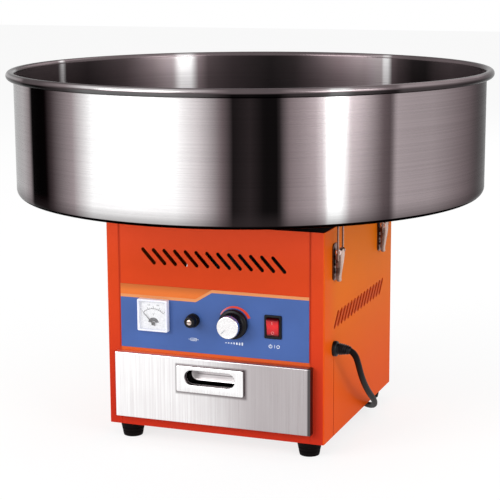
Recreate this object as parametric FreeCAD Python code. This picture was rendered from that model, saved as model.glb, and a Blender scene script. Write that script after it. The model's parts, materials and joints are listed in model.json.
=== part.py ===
"""Table-top electric cotton candy machine: steel cabinet, lift-off floss bowl and a spinning heated head.

Units are millimetres. +Z is up, -Y is the operator's side, and the origin is on the table under the head's
axis.
"""
import FreeCAD, Part
import math
import os

V = FreeCAD.Vector
X_AXIS = V(1, 0, 0)
Y_AXIS = V(0, 1, 0)
Z_AXIS = V(0, 0, 1)

# ---------------------------------------------------------------- driving dimensions
# Cabinet
CABINET_SHIFT = 5.0          # cabinet centre, to the right of the head's axis
CABINET_WIDTH = 240.0
CABINET_DEPTH = 250.0
CABINET_HEIGHT = 220.0
SHEET = 1.2                  # cabinet sheet thickness
FLANGE_WIDTH = 14.5          # front flange of each side panel
FLANGE_RETURN = 12.0         # bends that stiffen the sheets inside the cabinet
SEAM = 0.3                   # visible gap between two sheets
CORNER_BEND = 2.0            # outside radius of the side panels' front bends
PANEL_CLEARANCE = 0.2        # around what passes through a sheet
RUN_CLEARANCE = 0.05         # radial running fit of pins, spindles and shafts
FASTENER_RADIUS = 1.6        # rivets and rear screws
FASTENER_HEAD_RADIUS = 3.0
SCREW_HEAD_HEIGHT = 1.8
SCREW_LENGTH = 8.0
SCREW_SLOT_WIDTH = 0.8
SCREW_SLOT_DEPTH = 0.8

# Feet
FOOT_HEIGHT = 16.0
FOOT_TOP_RADIUS = 13.5
FOOT_BOTTOM_RADIUS = 10.5
FOOT_EDGE = 1.5
FOOT_INSET_X = 20.0
FOOT_INSET_Y = 15.0
FOOT_SCREW_SEAT = 6.0        # height of the screw head's seat inside the foot
FOOT_SCREW_RADIUS = 2.0
FOOT_SCREW_HEAD_RADIUS = 4.0
FOOT_SCREW_HEAD_HEIGHT = 2.6
FOOT_SCREW_LENGTH = 16.0
FOOT_NUT_RADIUS = 3.9
FOOT_NUT_HEIGHT = 3.0

# Floss bowl
BOWL_OUTER_RADIUS = 260.0    # over the rolled rim
BOWL_RIM_REACH = 8.0         # from the straight wall out to the rim's edge
BOWL_SHEET = 1.0
BOWL_HEIGHT = 136.0
BOWL_CORNER = 19.0
BOWL_COLLAR = 6.0
BOWL_GAP = 16.0              # from the cabinet's top to the bowl's floor
HEAD_ROOM = 10.0             # between the head and the bowl's hole, which lifts over it
PAD_RADIUS = 11.0
PAD_INSET = 23.0             # from the edge of the bowl's hole to the pads' centres

# Drawer
DRAWER_SIDE_MARGIN = 11.7    # cabinet that shows on each side of the drawer front
DRAWER_FRONT_HEIGHT = 70.4
DRAWER_FRONT_DEPTH = 9.0
DRAWER_EDGE = 1.2
DRAWER_RAISE = 11.0          # lower edge of the drawer front, above the cabinet's
DRAWER_SHEET = 1.0
RUNNER_ROOM = 8.0            # on each side of the tray, for its runner
TRAY_RAISE = 3.7             # tray's floor, above the drawer front's lower edge
TRAY_TOP_ROOM = 8.2          # between the tray's edge and the front sheet above it
TRAY_BACK_ROOM = 55.4        # between the tray and the rear panel
SLIDE_CLEARANCE = 0.4
OVERLAP_AT_OPENING = 1.5     # how far the drawer front covers the sheets above and below it
RUNNER_START = 25.0          # from the cabinet's front
RUNNER_END = 15.0            # past the tray's back
RUNNER_LEDGE = 10.0
RUNNER_FOOT = 14.0
GRIP_WIDTH = 55.5
GRIP_HEIGHT = 15.6
GRIP_RAISE = 1.9             # above the handle plate's middle
GRIP_DEPTH = 23.0
CUP_SHEET = 0.8
CUP_BEND = 6.0
HANDLE_SIDE = 9.75           # handle plate beside the finger slot
HANDLE_ABOVE = 6.45          # handle plate above and below the slot, on average
HANDLE_PROUD = 3.0
HANDLE_EDGE = 1.5
HANDLE_DROP = 7.65           # from the drawer front's upper edge to the handle plate

# Vents
VENT_WIDTH = 4.0
VENT_RUN = 12.4              # sideways reach of one slanted slot, between its end centres
VENT_DROP = 13.4
VENT_PITCH = 11.95
FRONT_VENTS = 13
SIDE_VENTS = 15
REAR_VENTS = 11
FRONT_VENTS_DOWN = 35.6      # from the cabinet's top to the middle of each row
SIDE_VENTS_DOWN = 97.3
REAR_VENTS_DOWN = 86.0

# Control fascia and what it carries
FASCIA_THICKNESS = 0.5
FASCIA_MARGIN = 0.95         # front sheet that shows beside the fascia
FASCIA_RAISE = 4.1           # above the drawer front
FASCIA_LOW = 57.0
FASCIA_HIGH = 68.0
FASCIA_STEP_LEFT = -19.0
FASCIA_STEP_RIGHT = -1.0
CONTROL_RAISE = 34.5         # control centres, above the fascia's lower edge
METER_X = -66.0
METER_RAISE = 2.5            # voltmeter's middle, above the other controls
METER_SIZE = 34.0
METER_PROUD = 6.0
METER_RIM = 2.0
METER_EDGE = 0.8
METER_FLOOR = 1.5            # case left under the dial
METER_DIAL = 0.6
METER_WINDOW = 1.0
METER_BARREL_RADIUS = 13.0
METER_BARREL_LENGTH = 23.0
ARBOR_RADIUS = 1.0
ARBOR_LENGTH = 9.7
NEEDLE_HUB_RADIUS = 1.9
NEEDLE_LENGTH = 15.5
NEEDLE_DROP = 9.0
NEEDLE_TAIL = 3.0
NEEDLE_START = -45.0
NEEDLE_HUB_HEIGHT = 1.2
NEEDLE_THICKNESS = 0.5
NEEDLE_WIDTH = 1.0
NEEDLE_TIP_WIDTH = 0.4
METER_CLEARANCE = 0.5        # past the end of the needle's arbor
FUSE_X = -21.8
FUSE_BORE_RADIUS = 4.6
FUSE_WALL = 1.4
FUSE_CAP_LIP = 0.3           # how far the cap stands out over the barrel
FUSE_FLANGE = 1.25
FUSE_FLANGE_HEIGHT = 3.0
FUSE_NUT = 2.5
FUSE_NUT_HEIGHT = 4.0
FUSE_CAP_GAP = 0.3           # between the cap and the flange
FUSE_CAP_EDGE = 1.2
FUSE_SLOT_LENGTH = 10.0
FUSE_SLOT_WIDTH = 1.4
FUSE_SLOT_DEPTH = 1.5
FUSE_PROUD = 12.0
FUSE_DEPTH = 32.0            # barrel behind the fascia
FUSE_STEM = 6.0
FUSE_LENGTH = 20.0
FUSE_RADIUS = 2.6
KNOB_X = 23.3
KNOB_SKIRT_RADIUS = 15.5
KNOB_SKIRT_HEIGHT = 6.0
KNOB_SKIRT_GAP = 0.5
KNOB_CAP_RADIUS = 11.75
KNOB_CAP_SHEET = 1.2
KNOB_PROUD = 20.0
KNOB_EDGE = 1.5
KNOB_CAP_EDGE = 1.2
KNOB_TOP = 2.0               # thickness of the bright cap's end
KNOB_GROOVE_WIDTH = 1.2
KNOB_GROOVE_DEPTH = 0.6
KNOB_GROOVE_START = 3.0      # from the knob's centre
KNOB_REST = -135.0           # the groove's angle from straight up, at the lowest heat
SPINDLE_LENGTH = 16.0
SPINDLE_RADIUS = 3.0
BUSH_WALL = 1.75
BUSH_NUT = 2.25
BUSH_NUT_HEIGHT = 2.2
HEAT_BODY_RADIUS = 14.0
HEAT_BODY_DEPTH = 18.0
SWITCH_X = 66.0
ROCKER_WIDTH = 12.8
ROCKER_RADIUS = 9.5
ROCKER_FACE = 4.0
ROCKER_DISH = 60.0           # radius of its hollowed face
ROCKER_DISH_DEPTH = 0.7
ROCKER_TILT = 9.0
ROCKER_PIVOT_DEPTH = 0.5     # pin's centre, behind the fascia's face
ROCKER_PIN_RADIUS = 1.2
ROCKER_PIN_END = 0.6         # pin that stands out on each side
ROCKER_CLEARANCE = 0.3       # around the rocker in its well
BEZEL_SIDE = 2.85            # bezel beside the rocker
BEZEL_ABOVE = 2.75           # bezel above and below the rocker
BEZEL_PROUD = 2.0
SWITCH_LIP = 1.7             # how far the bezel reaches over the switch's body on each side
BEZEL_EDGE = 0.8
SWITCH_DEPTH = 24.0

# Latches
LATCH_FRONT_INSET = 34.0     # from the cabinet's front to the front latches
LATCH_REAR_INSET = 51.0
LATCH_DROP = 24.0            # levers' pivots, under the cabinet's top
LATCH_PIVOT_OUT = 6.0
LATCH_ARM = 8.0              # from the lever's pivot to the loop's pivot
LATCH_BASE_WIDTH = 20.0
LATCH_BASE_ABOVE = 8.0       # base plate above the lever's pivot
LATCH_BASE_BELOW = 30.0
LATCH_SHEET = 1.2
RIVET_DROPS = (16.0, 24.0)   # rivets, under the lever's pivot
RIVET_HEAD_HEIGHT = 1.2
RIVET_TAIL_HEIGHT = 1.0
EAR_RADIUS = 2.2
EAR_GAP = 0.8                # between an ear and the lever's cheek
EAR_FOOT = 6.0
LEVER_WIDTH = 14.0
LEVER_TIP_WIDTH = 9.0
LEVER_LENGTH = 34.0
LEVER_TAB = 6.0              # flared end of the lever
LEVER_FLARE = 3.2
LEVER_TAPER_START = 12.0
LEVER_OUT = 2.6              # lever's face, from the line of its pivot
CHEEK_RADIUS = 2.9
LOOP_WIRE_RADIUS = 1.0
LOOP_BEND = 1.2
LOOP_SIDE_GAP = 0.3          # between a loop's leg and the lever's cheek
KEEPER_DROP = 9.0            # from the bowl's underside to the keeper's ledge
KEEPER_CLEARANCE = 0.3
KEEPER_SIDE_GAP = 1.3        # between the keeper and the loop's legs
KEEPER_FLANGE = 14.0
KEEPER_LEDGE = 6.5
KEEPER_SHEET_GAP = 0.6       # between the keeper's leg and the loop
PIN_RADIUS = 1.25

# Motor and spinning head
SHAFT_RADIUS = 5.0
MOTOR_RADIUS = 45.0
MOTOR_WALL = 4.0
MOTOR_LENGTH = 92.0
MOTOR_END = 8.0              # solid lower end of the motor's can
MOTOR_BELL = 6.0
MOTOR_BELL_LIP = 1.5
MOTOR_MOUNT_CIRCLE = 56.0
MOTOR_MOUNT_RADIUS = 7.0
MOTOR_MOUNT_HEIGHT = 20.0
BRACKET_THICKNESS = 3.0
BRACKET_EDGE = 2.0           # bracket around each mount
BRACKET_DISC_RADIUS = 34.0
ROTOR_RADIUS = 30.0
ROTOR_LENGTH = 48.0
SHAFT_END = 12.0             # shaft above the head's floor
SHAFT_ROOM = 4.0             # around the shaft, through the bracket and the brush holder
SHAFT_HOLE_RADIUS = 20.0
SLIP_DISC_RADIUS = 34.0
SLIP_DISC_THICKNESS = 6.0
SLIP_RING_RADII = (16.0, 27.0)
SLIP_RING_WIDTH = 4.0
SLIP_RING_THICKNESS = 1.2
BRUSH_SIZE = 5.0
BRUSH_GAP = 0.3
BRUSH_WALL = 2.0
BRUSH_BASE = 3.0
BRUSH_REACH = 5.0            # brush that stands out of its guide
HEAD_RADIUS = 65.0
HEAD_LIFT = 20.0             # head's floor, above the bowl's
HEAD_FLOOR_THICKNESS = 4.0
HUB_RADIUS = 13.0
HUB_HEIGHT = 6.0
SCREEN_HEIGHT = 42.0
SCREEN_THICKNESS = 2.0
SCREEN_INSET = 0.5
SCREEN_SLOTS = 60
SCREEN_SLOT_WIDTH = 1.4
SCREEN_BAND = 6.0            # unslotted edge above and below
HEATER_INSET = 5.0
HEATER_RADIUS = 1.4
HEATER_POST_RADIUS = 2.6
SUGAR_CUP_RADIUS = 27.5
SUGAR_CUP_FLOOR = 2.0
SUGAR_OUTLET_RADIUS = 2.5
SUGAR_OUTLET_HEIGHT = 6.0
HEAD_CONE_HEIGHT = 19.0
HEAD_CONE_INSET = 7.0        # cone's foot, inside the studs' circle
HEAD_SHEET = 1.5
HEAD_NUT_RADIUS = 9.0
HEAD_NUT_HEIGHT = 7.0
STUD_INSET = 16.0            # studs' circle, inside the head's edge
STUD_RADIUS = 2.0
STUD_NUT_RADIUS = 3.6
STUD_NUT_HEIGHT = 3.0
STUD_END = 2.0

# Power cord
CORD_RADIUS = 3.25
CORD_FLOOR = 0.1             # cord's underside, above the table
GLAND_INSET = 33.0           # from the cabinet's front
GLAND_HEIGHT = 110.0
GLAND_PROUD = 10.0
GLAND_FLANGE = 4.0
GLAND_FLANGE_RADIUS = 8.0
GLAND_NECK_RADIUS = 6.0
GLAND_NECK_LENGTH = 5.0      # past the side panel's inner face
GLAND_RING_RADIUS = 8.5
GLAND_RING = 3.5
GLAND_WALL = 1.2             # around the cord at the gland's tip
COIL_CENTRE = V(40.0, 187.0, 0)
COIL_RADIUS = 36.0
COIL_TURNS_HIGH = 3
RUN_SHARE = 0.45             # part of a cord's run that each of its bends may use
PLUG_LENGTH = 38.0
PLUG_WIDTH = 25.0
PLUG_HEIGHT = 21.0
PLUG_NECK = 12.0
PLUG_NECK_RADIUS = 7.5
PLUG_SIDE_BEND = 5.0
PLUG_BACK_BEND = 2.5
BLADE_LENGTH = 17.5
BLADE_THICKNESS = 1.5
BLADE_SPACING = 12.7
BLADE_LOW = -0.5
BLADE_HIGH = 5.8
EARTH_RADIUS = 2.4
EARTH_LENGTH = 20.0
EARTH_DROP = 6.0

# ---------------------------------------------------------------- places worked out from them
LEFT = CABINET_SHIFT - CABINET_WIDTH / 2
RIGHT = CABINET_SHIFT + CABINET_WIDTH / 2
FRONT = -CABINET_DEPTH / 2
REAR = CABINET_DEPTH / 2
BOTTOM = FOOT_HEIGHT
TOP = FOOT_HEIGHT + CABINET_HEIGHT
FACE = FRONT - FASCIA_THICKNESS
INNER_FRONT = FRONT + SHEET
HEAD_HOLE_RADIUS = HEAD_RADIUS + HEAD_ROOM
PAD_CIRCLE = HEAD_HOLE_RADIUS + PAD_INSET
BOWL_WALL_RADIUS = BOWL_OUTER_RADIUS - BOWL_RIM_REACH
BOWL_FLOOR = TOP + BOWL_GAP
BOWL_TOP = BOWL_FLOOR + BOWL_HEIGHT
DRAWER_FRONT_WIDTH = CABINET_WIDTH - 2 * DRAWER_SIDE_MARGIN
DRAWER_BOTTOM = BOTTOM + DRAWER_RAISE
DRAWER_TOP = DRAWER_BOTTOM + DRAWER_FRONT_HEIGHT
DRAWER_BACK = FRONT - SLIDE_CLEARANCE
DRAWER_FACE = DRAWER_BACK - DRAWER_FRONT_DEPTH
PANEL_BOTTOM = DRAWER_TOP - OVERLAP_AT_OPENING
LIP_TOP = DRAWER_BOTTOM + OVERLAP_AT_OPENING
HANDLE_WIDTH = GRIP_WIDTH + 2 * HANDLE_SIDE
HANDLE_HEIGHT = GRIP_HEIGHT + 2 * HANDLE_ABOVE
HANDLE_MIDDLE = DRAWER_TOP - HANDLE_DROP - HANDLE_HEIGHT / 2
GRIP_MIDDLE = HANDLE_MIDDLE + GRIP_RAISE
TRAY_WIDTH = CABINET_WIDTH - 2 * (FLANGE_WIDTH + RUNNER_ROOM)
TRAY_FLOOR = DRAWER_BOTTOM + TRAY_RAISE
TRAY_HEIGHT = PANEL_BOTTOM - TRAY_TOP_ROOM - TRAY_FLOOR
TRAY_START = DRAWER_FACE + DRAWER_SHEET
TRAY_END = REAR - TRAY_BACK_ROOM
FASCIA_WIDTH = CABINET_WIDTH - 2 * (FLANGE_WIDTH + SEAM + FASCIA_MARGIN)
FASCIA_BOTTOM = DRAWER_TOP + FASCIA_RAISE
CONTROL_HEIGHT = FASCIA_BOTTOM + CONTROL_RAISE
METER_HEIGHT = CONTROL_HEIGHT + METER_RAISE
METER_INSIDE = METER_SIZE - 2 * METER_RIM
NEEDLE_PLACE = -METER_FLOOR - METER_DIAL - 1.8
FUSE_BARREL_RADIUS = FUSE_BORE_RADIUS + FUSE_WALL
FUSE_CAP_RADIUS = FUSE_BARREL_RADIUS + FUSE_CAP_LIP
FUSE_BACK = FUSE_DEPTH - FUSE_FLANGE_HEIGHT
BUSH_RADIUS = SPINDLE_RADIUS + BUSH_WALL
ROCKER_PIN_REACH = ROCKER_WIDTH / 2 + ROCKER_PIN_END
BEZEL_WIDTH = ROCKER_WIDTH + 2 * BEZEL_SIDE
BEZEL_HEIGHT = 2 * ROCKER_RADIUS + 2 * BEZEL_ABOVE
LATCH_PIVOT_HEIGHT = TOP - LATCH_DROP
LOOP_LEG_SPACING = LEVER_WIDTH + 2 * (LOOP_WIRE_RADIUS + LOOP_SIDE_GAP)
KEEPER_WIDTH = LOOP_LEG_SPACING - 2 * (LOOP_WIRE_RADIUS + KEEPER_SIDE_GAP)
KEEPER_LEDGE_HEIGHT = BOWL_FLOOR - KEEPER_DROP
LATCHES = [(side, end, place)
           for side in (-1, 1)
           for end, place in (("front", FRONT + LATCH_FRONT_INSET), ("rear", REAR - LATCH_REAR_INSET))]
MOTOR_TOP = TOP - SHEET - MOTOR_MOUNT_HEIGHT - BRACKET_THICKNESS
MOTOR_BOTTOM = MOTOR_TOP - MOTOR_LENGTH
HEAD_FLOOR = BOWL_FLOOR + HEAD_LIFT
HEAD_TOP_OF_FLOOR = HEAD_FLOOR + HEAD_FLOOR_THICKNESS
SCREEN_TOP = HEAD_TOP_OF_FLOOR + SCREEN_HEIGHT
STUD_CIRCLE = HEAD_RADIUS - STUD_INSET
SLIP_DISC_FLOOR = HEAD_FLOOR - HUB_HEIGHT - SLIP_DISC_THICKNESS
SLIP_RING_FLOOR = SLIP_DISC_FLOOR - SLIP_RING_THICKNESS
GLAND_PLACE = FRONT + GLAND_INSET
CORD_HEIGHT = CORD_FLOOR + CORD_RADIUS
PLUG_MIDDLE = CORD_FLOOR + PLUG_HEIGHT / 2

# The cord's route, chosen by hand: out of the gland, down and back along the side, and under the cabinet.
CORD_ROUTE = [
    V(RIGHT + GLAND_PROUD, GLAND_PLACE, GLAND_HEIGHT),
    V(145.5, GLAND_PLACE, GLAND_HEIGHT),
    V(151.5, -87.0, 104.0),
    V(152.5, -74.5, 92.0),
    V(149.5, -54.0, 73.0),
    V(145.5, -23.0, 50.0),
    V(141.0, 12.0, 27.5),
    V(131.0, 42.0, 11.0),
    V(112.5, 67.0, CORD_HEIGHT + 0.6),
    V(93.0, 94.0, CORD_HEIGHT),
    V(82.0, 122.0, CORD_HEIGHT),
    V(78.3, 151.0, CORD_HEIGHT),
    V(79.0, 178.0, CORD_HEIGHT),
]
# From the coil's far side to the plug.
PLUG_ROUTE = [
    V(38.0, 226.0, CORD_HEIGHT),
    V(18.0, 225.0, CORD_HEIGHT),
    V(-1.0, 220.5, 7.0),
    V(-19.0, 211.5, PLUG_MIDDLE),
    V(-36.0, 201.0, PLUG_MIDDLE),
]


# ---------------------------------------------------------------- small helpers
def block(x0, x1, y0, y1, z0, z1):
    """A box between two corners, given axis by axis."""
    return Part.makeBox(x1 - x0, y1 - y0, z1 - z0, V(x0, y0, z0))


def rod(radius, start, direction, length):
    """A cylinder from start along direction."""
    return Part.makeCylinder(radius, length, start, direction)


def tube(outer, inner, start, direction, length):
    """A hollow cylinder."""
    return rod(outer, start, direction, length).cut(rod(inner, start, direction, length))


def fused(shapes):
    """One solid made of overlapping or touching shapes."""
    whole = shapes[0]
    if len(shapes) > 1:
        whole = whole.multiFuse(shapes[1:])
    return whole.removeSplitter()


def prism(points, thickness):
    """A flat outline given as vectors, pushed along the vector thickness."""
    outline = Part.makePolygon(points + [points[0]])
    return Part.Face(outline).extrude(thickness)


def turned(points):
    """An outline of (radius, height) pairs, turned about the machine's axis."""
    corners = [V(radius, 0, height) for radius, height in points]
    outline = Part.Face(Part.makePolygon(corners + [corners[0]]))
    return outline.revolve(V(0, 0, 0), Z_AXIS, 360)


def around(radius, turns, height=0.0):
    """Places on a circle about the machine's axis, at the angles given in degrees."""
    return [V(radius * math.cos(math.radians(turn)), radius * math.sin(math.radians(turn)), height)
            for turn in turns]


def front_edges(shape, face):
    """Edges of a shape that lie in its front face."""
    return [edge for edge in shape.Edges if edge.BoundBox.YMax < face + 0.01]


def obround(width, height, depth, centre):
    """A long hole's plug with round ends, long side along X, pushed along +Y."""
    radius = height / 2
    reach = width / 2 - radius
    middle = block(centre.x - reach, centre.x + reach, centre.y, centre.y + depth,
                   centre.z - radius, centre.z + radius)
    ends = [rod(radius, V(centre.x + side * reach, centre.y, centre.z), Y_AXIS, depth) for side in (-1, 1)]
    return fused([middle] + ends)


def export(name, solids):
    """Writes one node, made of one or more closed solids."""
    solids = solids if isinstance(solids, list) else [solids]
    pieces = [piece for shape in solids for piece in shape.Solids]
    assert pieces and all(piece.isValid() and piece.isClosed() for piece in pieces), name
    whole = pieces[0] if len(pieces) == 1 else Part.makeCompound(pieces)
    whole.exportStep("parts/" + name + ".step")


# ---------------------------------------------------------------- vents
def vent_cutters(count, middle, along, through):
    """Slanted round-ended slots in a row, centred on middle.

    along is the direction of the row, and through is the vector that crosses the sheet.
    """
    start = middle - through / 2
    cutters = []
    for index in range(count):
        centre = start + along * ((index - (count - 1) / 2) * VENT_PITCH)
        slant = along * (VENT_RUN / 2) - Z_AXIS * (VENT_DROP / 2)
        across = V(slant).cross(through)
        across.normalize()
        across = across * (VENT_WIDTH / 2)
        body = prism([centre - slant - across, centre + slant - across,
                      centre + slant + across, centre - slant + across], through)
        ends = [rod(VENT_WIDTH / 2, centre + slant * side, through, through.Length) for side in (-1, 1)]
        cutters.append(fused([body] + ends))
    return cutters


# ---------------------------------------------------------------- cabinet
def foot_places():
    """Centres of the four feet, seen from above."""
    return [V(x, y, 0)
            for x in (LEFT + FOOT_INSET_X, RIGHT - FOOT_INSET_X)
            for y in (FRONT + FOOT_INSET_Y, REAR - FOOT_INSET_Y)]


def base_pan():
    """Floor sheet with a front lip under the drawer and upturned edges on the other three sides."""
    flange_top = BOTTOM + FLANGE_RETURN
    side_start = FRONT + 2 * FLANGE_RETURN
    rear_reach = FLANGE_RETURN + 3 * SHEET
    sheets = [
        block(LEFT + SHEET, RIGHT - SHEET, INNER_FRONT, REAR - SHEET, BOTTOM, BOTTOM + SHEET),
        block(LEFT + FLANGE_WIDTH + SEAM, RIGHT - FLANGE_WIDTH - SEAM, FRONT, INNER_FRONT, BOTTOM, LIP_TOP),
        block(LEFT + SHEET, LEFT + 2 * SHEET, side_start, REAR - rear_reach, BOTTOM, flange_top),
        block(RIGHT - 2 * SHEET, RIGHT - SHEET, side_start, REAR - rear_reach, BOTTOM, flange_top),
        block(LEFT + rear_reach, RIGHT - rear_reach, REAR - 2 * SHEET, REAR - SHEET, BOTTOM, flange_top),
    ]
    pan = fused(sheets)
    hole_radius = FOOT_SCREW_RADIUS + PANEL_CLEARANCE / 2
    holes = [rod(hole_radius, place + Z_AXIS * (BOTTOM - SHEET), Z_AXIS, 3 * SHEET)
             for place in foot_places()]
    return pan.cut(holes)


def rear_screw_places():
    """Screw centres on the rear panel: three down each side."""
    step = CABINET_HEIGHT / 2 - 2 * FLANGE_RETURN
    middle = (BOTTOM + TOP) / 2
    inset = FLANGE_RETURN / 2 + SHEET
    return [V(x, REAR, middle + row * step) for x in (LEFT + inset, RIGHT - inset) for row in (-1, 0, 1)]


def screw_holes(reach):
    """Clearance holes for the rear panel's screws."""
    start = V(0, reach - REAR, 0)
    return [rod(FASTENER_RADIUS + PANEL_CLEARANCE / 2, place + start, Y_AXIS, 5 * SHEET)
            for place in rear_screw_places()]


def side_panel(side):
    """Side sheet with a front flange, its return and a rear flange; side is -1 (left) or 1 (right)."""
    skin = RIGHT if side > 0 else LEFT

    def slab(out0, out1, y0, y1, z0, z1):
        """A box between two depths, measured inwards from the panel's outer face."""
        reach = sorted((skin - side * out0, skin - side * out1))
        return block(reach[0], reach[1], y0, y1, z0, z1)

    low = BOTTOM + SHEET
    high = TOP - SHEET
    shell = fused([
        slab(0, SHEET, FRONT, REAR - SHEET, BOTTOM, TOP),
        slab(0, FLANGE_WIDTH, FRONT, INNER_FRONT, BOTTOM, TOP),
    ])
    bend = [edge for edge in shell.Edges
            if abs(edge.CenterOfMass.x - skin) < 0.01 and abs(edge.CenterOfMass.y - FRONT) < 0.01]
    shell = shell.makeFillet(CORNER_BEND, bend)
    panel = fused([
        shell,
        slab(FLANGE_WIDTH - SHEET, FLANGE_WIDTH, INNER_FRONT - SHEET / 2, FRONT + FLANGE_RETURN, low, high),
        slab(SHEET / 2, FLANGE_RETURN + SHEET, REAR - 2 * SHEET, REAR - SHEET, low, high),
    ])
    through = 2 * SHEET
    cutters = vent_cutters(SIDE_VENTS, V(skin, 0, TOP - SIDE_VENTS_DOWN), Y_AXIS * -1, X_AXIS * (2 * through))
    cutters += screw_holes(REAR - 4 * SHEET)
    cutters += [rod(FASTENER_RADIUS + RUN_CLEARANCE, place - X_AXIS * through, X_AXIS, 2 * through)
                for place in rivet_places(side)]
    if side > 0:
        hole = V(skin - through, GLAND_PLACE, GLAND_HEIGHT)
        cutters.append(rod(GLAND_NECK_RADIUS + PANEL_CLEARANCE, hole, X_AXIS, 2 * through))
        slit = SHEET / 2
        cutters.append(block(skin - through, skin + through, GLAND_PLACE - slit, GLAND_PLACE + slit,
                             BOTTOM - SHEET, GLAND_HEIGHT))
    return panel.cut(cutters)


def rear_panel():
    """Vented rear sheet, screwed to the side panels."""
    sheet = block(LEFT, RIGHT, REAR - SHEET, REAR, BOTTOM, TOP)
    middle = V(CABINET_SHIFT, REAR, TOP - REAR_VENTS_DOWN)
    cutters = vent_cutters(REAR_VENTS, middle, X_AXIS * -1, Y_AXIS * (4 * SHEET))
    return sheet.cut(cutters + screw_holes(REAR - 2 * SHEET))


def panel_screws():
    """Pan-head screws through the rear panel."""
    screws = []
    for place in rear_screw_places():
        outside = REAR + SCREW_HEAD_HEIGHT
        head = rod(FASTENER_HEAD_RADIUS, place, Y_AXIS, SCREW_HEAD_HEIGHT)
        crown = [edge for edge in head.Edges if edge.CenterOfMass.y > outside - 0.1]
        head = head.makeFillet(SCREW_SLOT_DEPTH, crown)
        slot = block(place.x - FASTENER_HEAD_RADIUS, place.x + FASTENER_HEAD_RADIUS,
                     outside - SCREW_SLOT_DEPTH, outside + 1,
                     place.z - SCREW_SLOT_WIDTH / 2, place.z + SCREW_SLOT_WIDTH / 2)
        shank = rod(FASTENER_RADIUS, place, Y_AXIS * -1, SCREW_LENGTH)
        screws.append(fused([head.cut(slot), shank]))
    return screws


def control_cutters():
    """What is cut out of the front panel and the fascia for the four controls."""
    start = FRONT - 2 * SHEET
    depth = 6 * SHEET
    half_wide = BEZEL_WIDTH / 2 - SWITCH_LIP + PANEL_CLEARANCE
    half_high = BEZEL_HEIGHT / 2 - SWITCH_LIP + PANEL_CLEARANCE
    switch_x = CABINET_SHIFT + SWITCH_X

    def hole(radius, x, height):
        """A clearance hole through both sheets for a round part."""
        return rod(radius + PANEL_CLEARANCE, V(CABINET_SHIFT + x, start, height), Y_AXIS, depth)

    return [
        hole(METER_BARREL_RADIUS, METER_X, METER_HEIGHT),
        hole(FUSE_BARREL_RADIUS, FUSE_X, CONTROL_HEIGHT),
        hole(BUSH_RADIUS, KNOB_X, CONTROL_HEIGHT),
        block(switch_x - half_wide, switch_x + half_wide, start, start + depth,
              CONTROL_HEIGHT - half_high, CONTROL_HEIGHT + half_high),
    ]


def front_panel():
    """Front sheet above the drawer, with its returns, its vents and the control cut-outs."""
    left = LEFT + FLANGE_WIDTH + SEAM
    right = RIGHT - FLANGE_WIDTH - SEAM
    back = FRONT + FLANGE_RETURN
    high = TOP - SHEET
    panel = fused([
        block(left, right, FRONT, INNER_FRONT, PANEL_BOTTOM, TOP),
        block(left, left + SHEET, INNER_FRONT, back, PANEL_BOTTOM, high),
        block(right - SHEET, right, INNER_FRONT, back, PANEL_BOTTOM, high),
        block(left, right, INNER_FRONT, back, PANEL_BOTTOM, PANEL_BOTTOM + SHEET),
    ])
    middle = V(CABINET_SHIFT, FRONT, TOP - FRONT_VENTS_DOWN)
    vents = vent_cutters(FRONT_VENTS, middle, X_AXIS, Y_AXIS * (4 * SHEET))
    return panel.cut(vents + control_cutters())


def top_plate():
    """Top sheet with two downturned edges and a hole for the shaft."""
    high = TOP - SHEET
    plate = fused([
        block(LEFT + SHEET, RIGHT - SHEET, INNER_FRONT, REAR - SHEET, high, TOP),
        block(LEFT + SHEET, LEFT + 2 * SHEET, FRONT + 2 * FLANGE_RETURN, REAR - 2 * FLANGE_RETURN,
              TOP - FLANGE_RETURN, high),
        block(RIGHT - 2 * SHEET, RIGHT - SHEET, FRONT + 2 * FLANGE_RETURN, REAR - 2 * FLANGE_RETURN,
              TOP - FLANGE_RETURN, high),
    ])
    return plate.cut(rod(SHAFT_HOLE_RADIUS, V(0, 0, high - SHEET), Z_AXIS, 3 * SHEET))


def control_fascia():
    """Thin plastic facing around the controls, higher on its right side."""
    half = FASCIA_WIDTH / 2
    outline = [(-half, 0), (half, 0), (half, FASCIA_HIGH), (FASCIA_STEP_RIGHT, FASCIA_HIGH),
               (FASCIA_STEP_LEFT, FASCIA_LOW), (-half, FASCIA_LOW)]
    corners = [V(CABINET_SHIFT + x, FACE, FASCIA_BOTTOM + z) for x, z in outline]
    return prism(corners, Y_AXIS * FASCIA_THICKNESS).cut(control_cutters())


def rubber_foot(place):
    """Tapered foot, open underneath around its screw."""
    foot = Part.makeCone(FOOT_BOTTOM_RADIUS, FOOT_TOP_RADIUS, FOOT_HEIGHT, place, Z_AXIS)
    foot = foot.makeFillet(FOOT_EDGE, [edge for edge in foot.Edges if edge.BoundBox.ZMax < 0.1])
    pocket = rod(FOOT_SCREW_HEAD_RADIUS + 0.5, place - Z_AXIS, Z_AXIS, FOOT_SCREW_SEAT + 1)
    hole = rod(FOOT_SCREW_RADIUS + PANEL_CLEARANCE / 2, place, Z_AXIS, FOOT_HEIGHT + 1)
    return foot.cut([pocket, hole])


def foot_screw(place):
    """Pan-head screw from inside a foot up through the base pan, with its nut."""
    head_bottom = place + Z_AXIS * (FOOT_SCREW_SEAT - FOOT_SCREW_HEAD_HEIGHT)
    head = rod(FOOT_SCREW_HEAD_RADIUS, head_bottom, Z_AXIS, FOOT_SCREW_HEAD_HEIGHT)
    shank = rod(FOOT_SCREW_RADIUS, place + Z_AXIS * FOOT_SCREW_SEAT, Z_AXIS, FOOT_SCREW_LENGTH)
    nut_corners = [place + corner for corner in around(FOOT_NUT_RADIUS, range(0, 360, 60), BOTTOM + SHEET)]
    nut = prism(nut_corners, Z_AXIS * FOOT_NUT_HEIGHT)
    return fused([head, shank, nut])


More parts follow.
